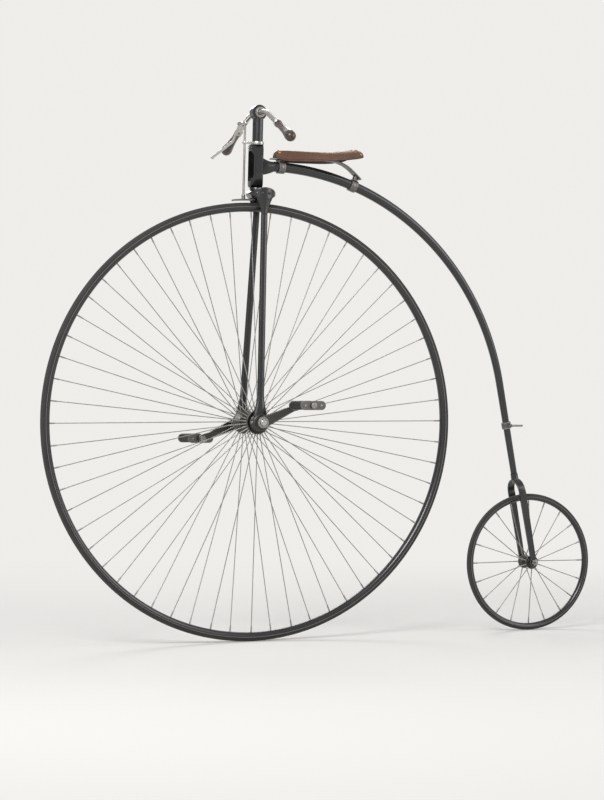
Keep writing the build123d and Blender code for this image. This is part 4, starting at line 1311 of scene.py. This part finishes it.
# Small forged and turned pieces keep the CAD outline, with eased edges and their own finish
dressed = (
    # body, slot, material, edge radius of each node
    ("frame", "black_enamel", blackEnamel, dict(neck=0.0008, rear_fork_crown=0.001)),
    ("frame", "black_enamel", blackEnamel, dict(rear_fork_left=0.0012, rear_fork_right=0.0012)),
    ("frame", "bright_steel", plainSteel, dict(rear_axle=0.0006, rear_axle_nuts=0.0005)),
    ("frame", "bright_steel", darkSteel, dict(saddle_clip_front=0.0008, saddle_clip_rear=0.0008)),
    ("fork", "black_enamel", blackEnamel, dict(fork_crown=0.001, head=0.001)),
    ("fork", "bright_steel", brightSteel, dict(head_collar=0.0008)),
    ("fork", "black_enamel", blackEnamel, dict(handlebar_column=0.001)),
    ("fork", "polished_steel", brightSteel, dict(brake_lever=0.0)),
    ("fork", "bright_steel", plainSteel, dict(brake_bracket=0.0006, brake_rod=0.0005)),
    ("fork", "bright_steel", darkSteel, dict(brake_spoon=0.0006)),
    ("front_wheel", "bright_steel", plainSteel, dict(front_axle=0.0006)),
    ("front_wheel", "bright_steel", hubSteel, dict(crank_left=0.0014, crank_right=0.0014)),
    ("front_wheel", "bright_steel", plainSteel, dict(pedal_pin_left=0.0006, pedal_pin_right=0.0006)),
    ("pedal_left", "bright_steel", darkSteel, dict(pedal_left=0.0006)),
    ("pedal_right", "bright_steel", darkSteel, dict(pedal_right=0.0006)),
)
for body, slotName, material, edges in dressed:
    for node, edge in edges.items():
        place(dressNode(node, material, edge), body, slotName, node)
print("stage: frame and fork made")

# Bolts, rivets and caps on the fork
forkTrim = dict(
    # back, side, up, lean back, lean side, size
    forkBolts=(
        (0.0, -0.0184, 0.8069, 0, -1, 0.0038),
        (0.0, 0.0184, 0.8069, 0, 1, 0.0038),
        (0.0218, 0.0, 0.896, 1, 0, 0.0044),
        (-0.025, -0.072, 0.0, -1, 0, 0.0042),
        (-0.025, 0.072, 0.0, -1, 0, 0.0042),
        (0.025, -0.072, 0.0, 1, 0, 0.0042),
        (0.025, 0.072, 0.0, 1, 0, 0.0042),
        (-0.0446, 0.036, 0.864, -1, 0, 0.0046),
    ),
    forkRivets=(
        (0.0025, -0.0418, 0.661, 0, -1, 0.0042),
        (0.0255, -0.0418, 0.661, 0, -1, 0.0042),
        (0.0025, 0.0418, 0.661, 0, 1, 0.0042),
        (0.0255, 0.0418, 0.661, 0, 1, 0.0042),
    ),
    forkOilCup=((-0.0222, 0.0, 0.7932, -1, 0, 0.0034),),
)


def forkMarks(rows):
    marks = []
    for back, side, up, leanBack, leanSide, size in rows:
        lean = (backAxis * leanBack + sideAxis * leanSide).normalized()
        marks.append((onFork(back, side, up), lean, steerAxis, size))
    return marks


for name, shape, material, slotName in (
    ("forkBolts", boltShape, plainSteel, "bright_steel"),
    ("forkRivets", rivetShape, blackEnamel, "black_enamel"),
    ("forkOilCup", cupShape, brightSteel, "polished_steel"),
):
    growOnPoints(name, forkMarks(forkTrim[name]), shape, material, "fork", slotName)

# Rivets on the small fork, and bolts on the saddle clips, the step's band and the leaf's tail
frameTrim = dict(
    rivetUps=(0.2065, 0.2235), rivetSide=0.0394, rivet=0.0034, stepBolt=0.0036,
    tailBolt=0.0042, clipSunk=0.0002, stepSunk=0.0001,
    clips=dict(saddle_clip_front=0.004, saddle_clip_rear=0.0036),
)


def clipAngle(node):
    low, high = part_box(node)
    return math.atan2((low.z + high.z) / 2 - arcCentre.z, (low.x + high.x) / 2 - arcCentre.x)


def frameMarks():
    rivets, bolts = [], []
    for side in (-1, 1):
        lean = sideAxis * side
        for up in frameTrim["rivetUps"]:
            point = smallHub + tailUp * up + lean * frameTrim["rivetSide"]
            rivets.append((point, lean, tailUp, frameTrim["rivet"]))
        for node, size in frameTrim["clips"].items():
            point = arcPlace(clipAngle(node)) + lean * (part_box(node)[1].y - frameTrim["clipSunk"])
            bolts.append((point, lean, zAxis, size))
    point = stepCentre + sideAxis * (footStep["outer"] - frameTrim["stepSunk"])
    bolts.append((point, sideAxis, tailUp, frameTrim["stepBolt"]))
    post = clipAngle("saddle_clip_rear")
    square = Vector((math.sin(post), 0, -math.cos(post)))   # square to the rear clip's post
    tail = springBend(spring["turn"])
    seat = tail - springTail * (tail - arcCentre).dot(square) / springTail.dot(square)
    out = Vector((math.sin(spring["turn"]), 0, math.cos(spring["turn"])))
    bolts.append((seat + out * spring["thick"] / 2, out, sideAxis, frameTrim["tailBolt"]))
    return rivets, bolts


frameRivets, frameBolts = frameMarks()
growOnPoints("frameRivets", frameRivets, rivetShape, blackEnamel, "frame", "black_enamel")
growOnPoints("frameBolts", frameBolts, boltShape, darkSteel, "frame", "bright_steel")


def setPedalNuts(side, label):
    marks, body = [], "pedal_" + label
    for end in (-1, 1):
        for face in (-1, 1):
            offset = Vector((end * pedal["rodOffset"], face * pedal["halfWidth"], 0))
            size = pedal["outerNut"] if face == side else pedal["innerNut"]
            marks.append((pedalPlace(side) + offset, sideAxis * face, zAxis, size))
    growOnPoints("pedalNuts_" + label, marks, acornShape, plainSteel, body, "bright_steel")


for label, side in sideSigns:
    setPedalNuts(side, label)
print("stage: bolts, rivets and caps set")

# Floor that fades into the background, world and lamps
studio = dict(
    floorRadius=30.0, fadeFrom=0.9, fadeTo=3.6, segments=96, mirrored=0.4,
    pale=(0.8, 0.785, 0.755), speck=(0.74, 0.725, 0.695), paper=(0.86, 0.85, 0.825),
    sky=(0.95, 0.97, 1.0), skyStrength=0.42, speckScale=30.0, speckShare=0.25, roughness=0.9,
)
lamps = (
    # name, offset from the big hub, power, size
    ("keyLamp", (-2.6, -3.2, 3.0), 170.0, (2.2, 2.2)),
    ("fillLamp", (3.4, -2.6, 1.8), 55.0, (2.6, 2.6)),
    ("backLamp", (0.8, 3.6, 2.6), 70.0, (2.4, 1.6)),
)
lampAim = Vector((0.2, 0, 0))


def makeFloor():
    middle = bigHub + zAxis * (floorHeight - bigHub.z)
    points, segments = [middle], studio["segments"]
    for cosine, sine in circle(segments):
        points.append(middle + Vector((cosine, sine, 0)) * studio["floorRadius"])
    faces = [(0, index + 1, (index + 1) % segments + 1) for index in range(segments)]
    f = Finish("floorPale")
    centred = f.node("ShaderNodeVectorMath", {"operation": "SUBTRACT"}, {0: f.place, 1: middle})
    away = f.node("ShaderNodeVectorMath", {"operation": "LENGTH"}, {0: centred}, "Value")
    near = away.over(studio["fadeFrom"], studio["fadeTo"])
    fade = near * near * (3.0 - 2.0 * near)
    specks = f.noise(studio["speckScale"]) * studio["speckShare"]
    colour = f.blend(specks, studio["pale"], studio["speck"])
    values = {"Base Color": colour, "Roughness": studio["roughness"]}
    matt = f.node("ShaderNodeBsdfPrincipled", values=values)
    glow = f.node("ShaderNodeEmission", values={"Color": studio["paper"]})
    paper = f.show(f.node("ShaderNodeMixShader", values={0: fade, 1: matt, 2: glow}))
    piece = meshPiece("floor", points, faces, paper)


def makeWorld():
    world = bpy.data.worlds.new("studio")
    bpy.context.scene.world = world
    world.use_nodes = True
    w = Tree(world.node_tree)
    w.tree.nodes.clear()
    values = {"Color": studio["sky"], "Strength": studio["skyStrength"]}
    soft = w.node("ShaderNodeBackground", values=values)
    seen = w.node("ShaderNodeBackground", values={"Color": studio["paper"]})
    kinds = ("Camera", "Transmission", "Glossy")
    rays = [w.node("ShaderNodeLightPath", out=f"Is {ray} Ray") for ray in kinds]
    either = (rays[0] + rays[1] + rays[2] * studio["mirrored"]).clamped()
    shown = w.node("ShaderNodeMixShader", values={0: either, 1: soft, 2: seen})
    w.node("ShaderNodeOutputWorld", values={"Surface": shown})


def makeLamp(name, offset, power, size):
    lamp = addObject(name, bpy.data.lights.new(name, "AREA"))
    lamp.data.energy = power
    lamp.data.shape = "RECTANGLE"
    lamp.data.size, lamp.data.size_y = size
    lamp.location = bigHub + Vector(offset)
    lamp.rotation_euler = (lampAim - Vector(offset)).to_track_quat("-Z", "Y").to_euler()


makeFloor()
makeWorld()
for lamp in lamps:
    makeLamp(*lamp)
print("stage: floor, world and lamps set")
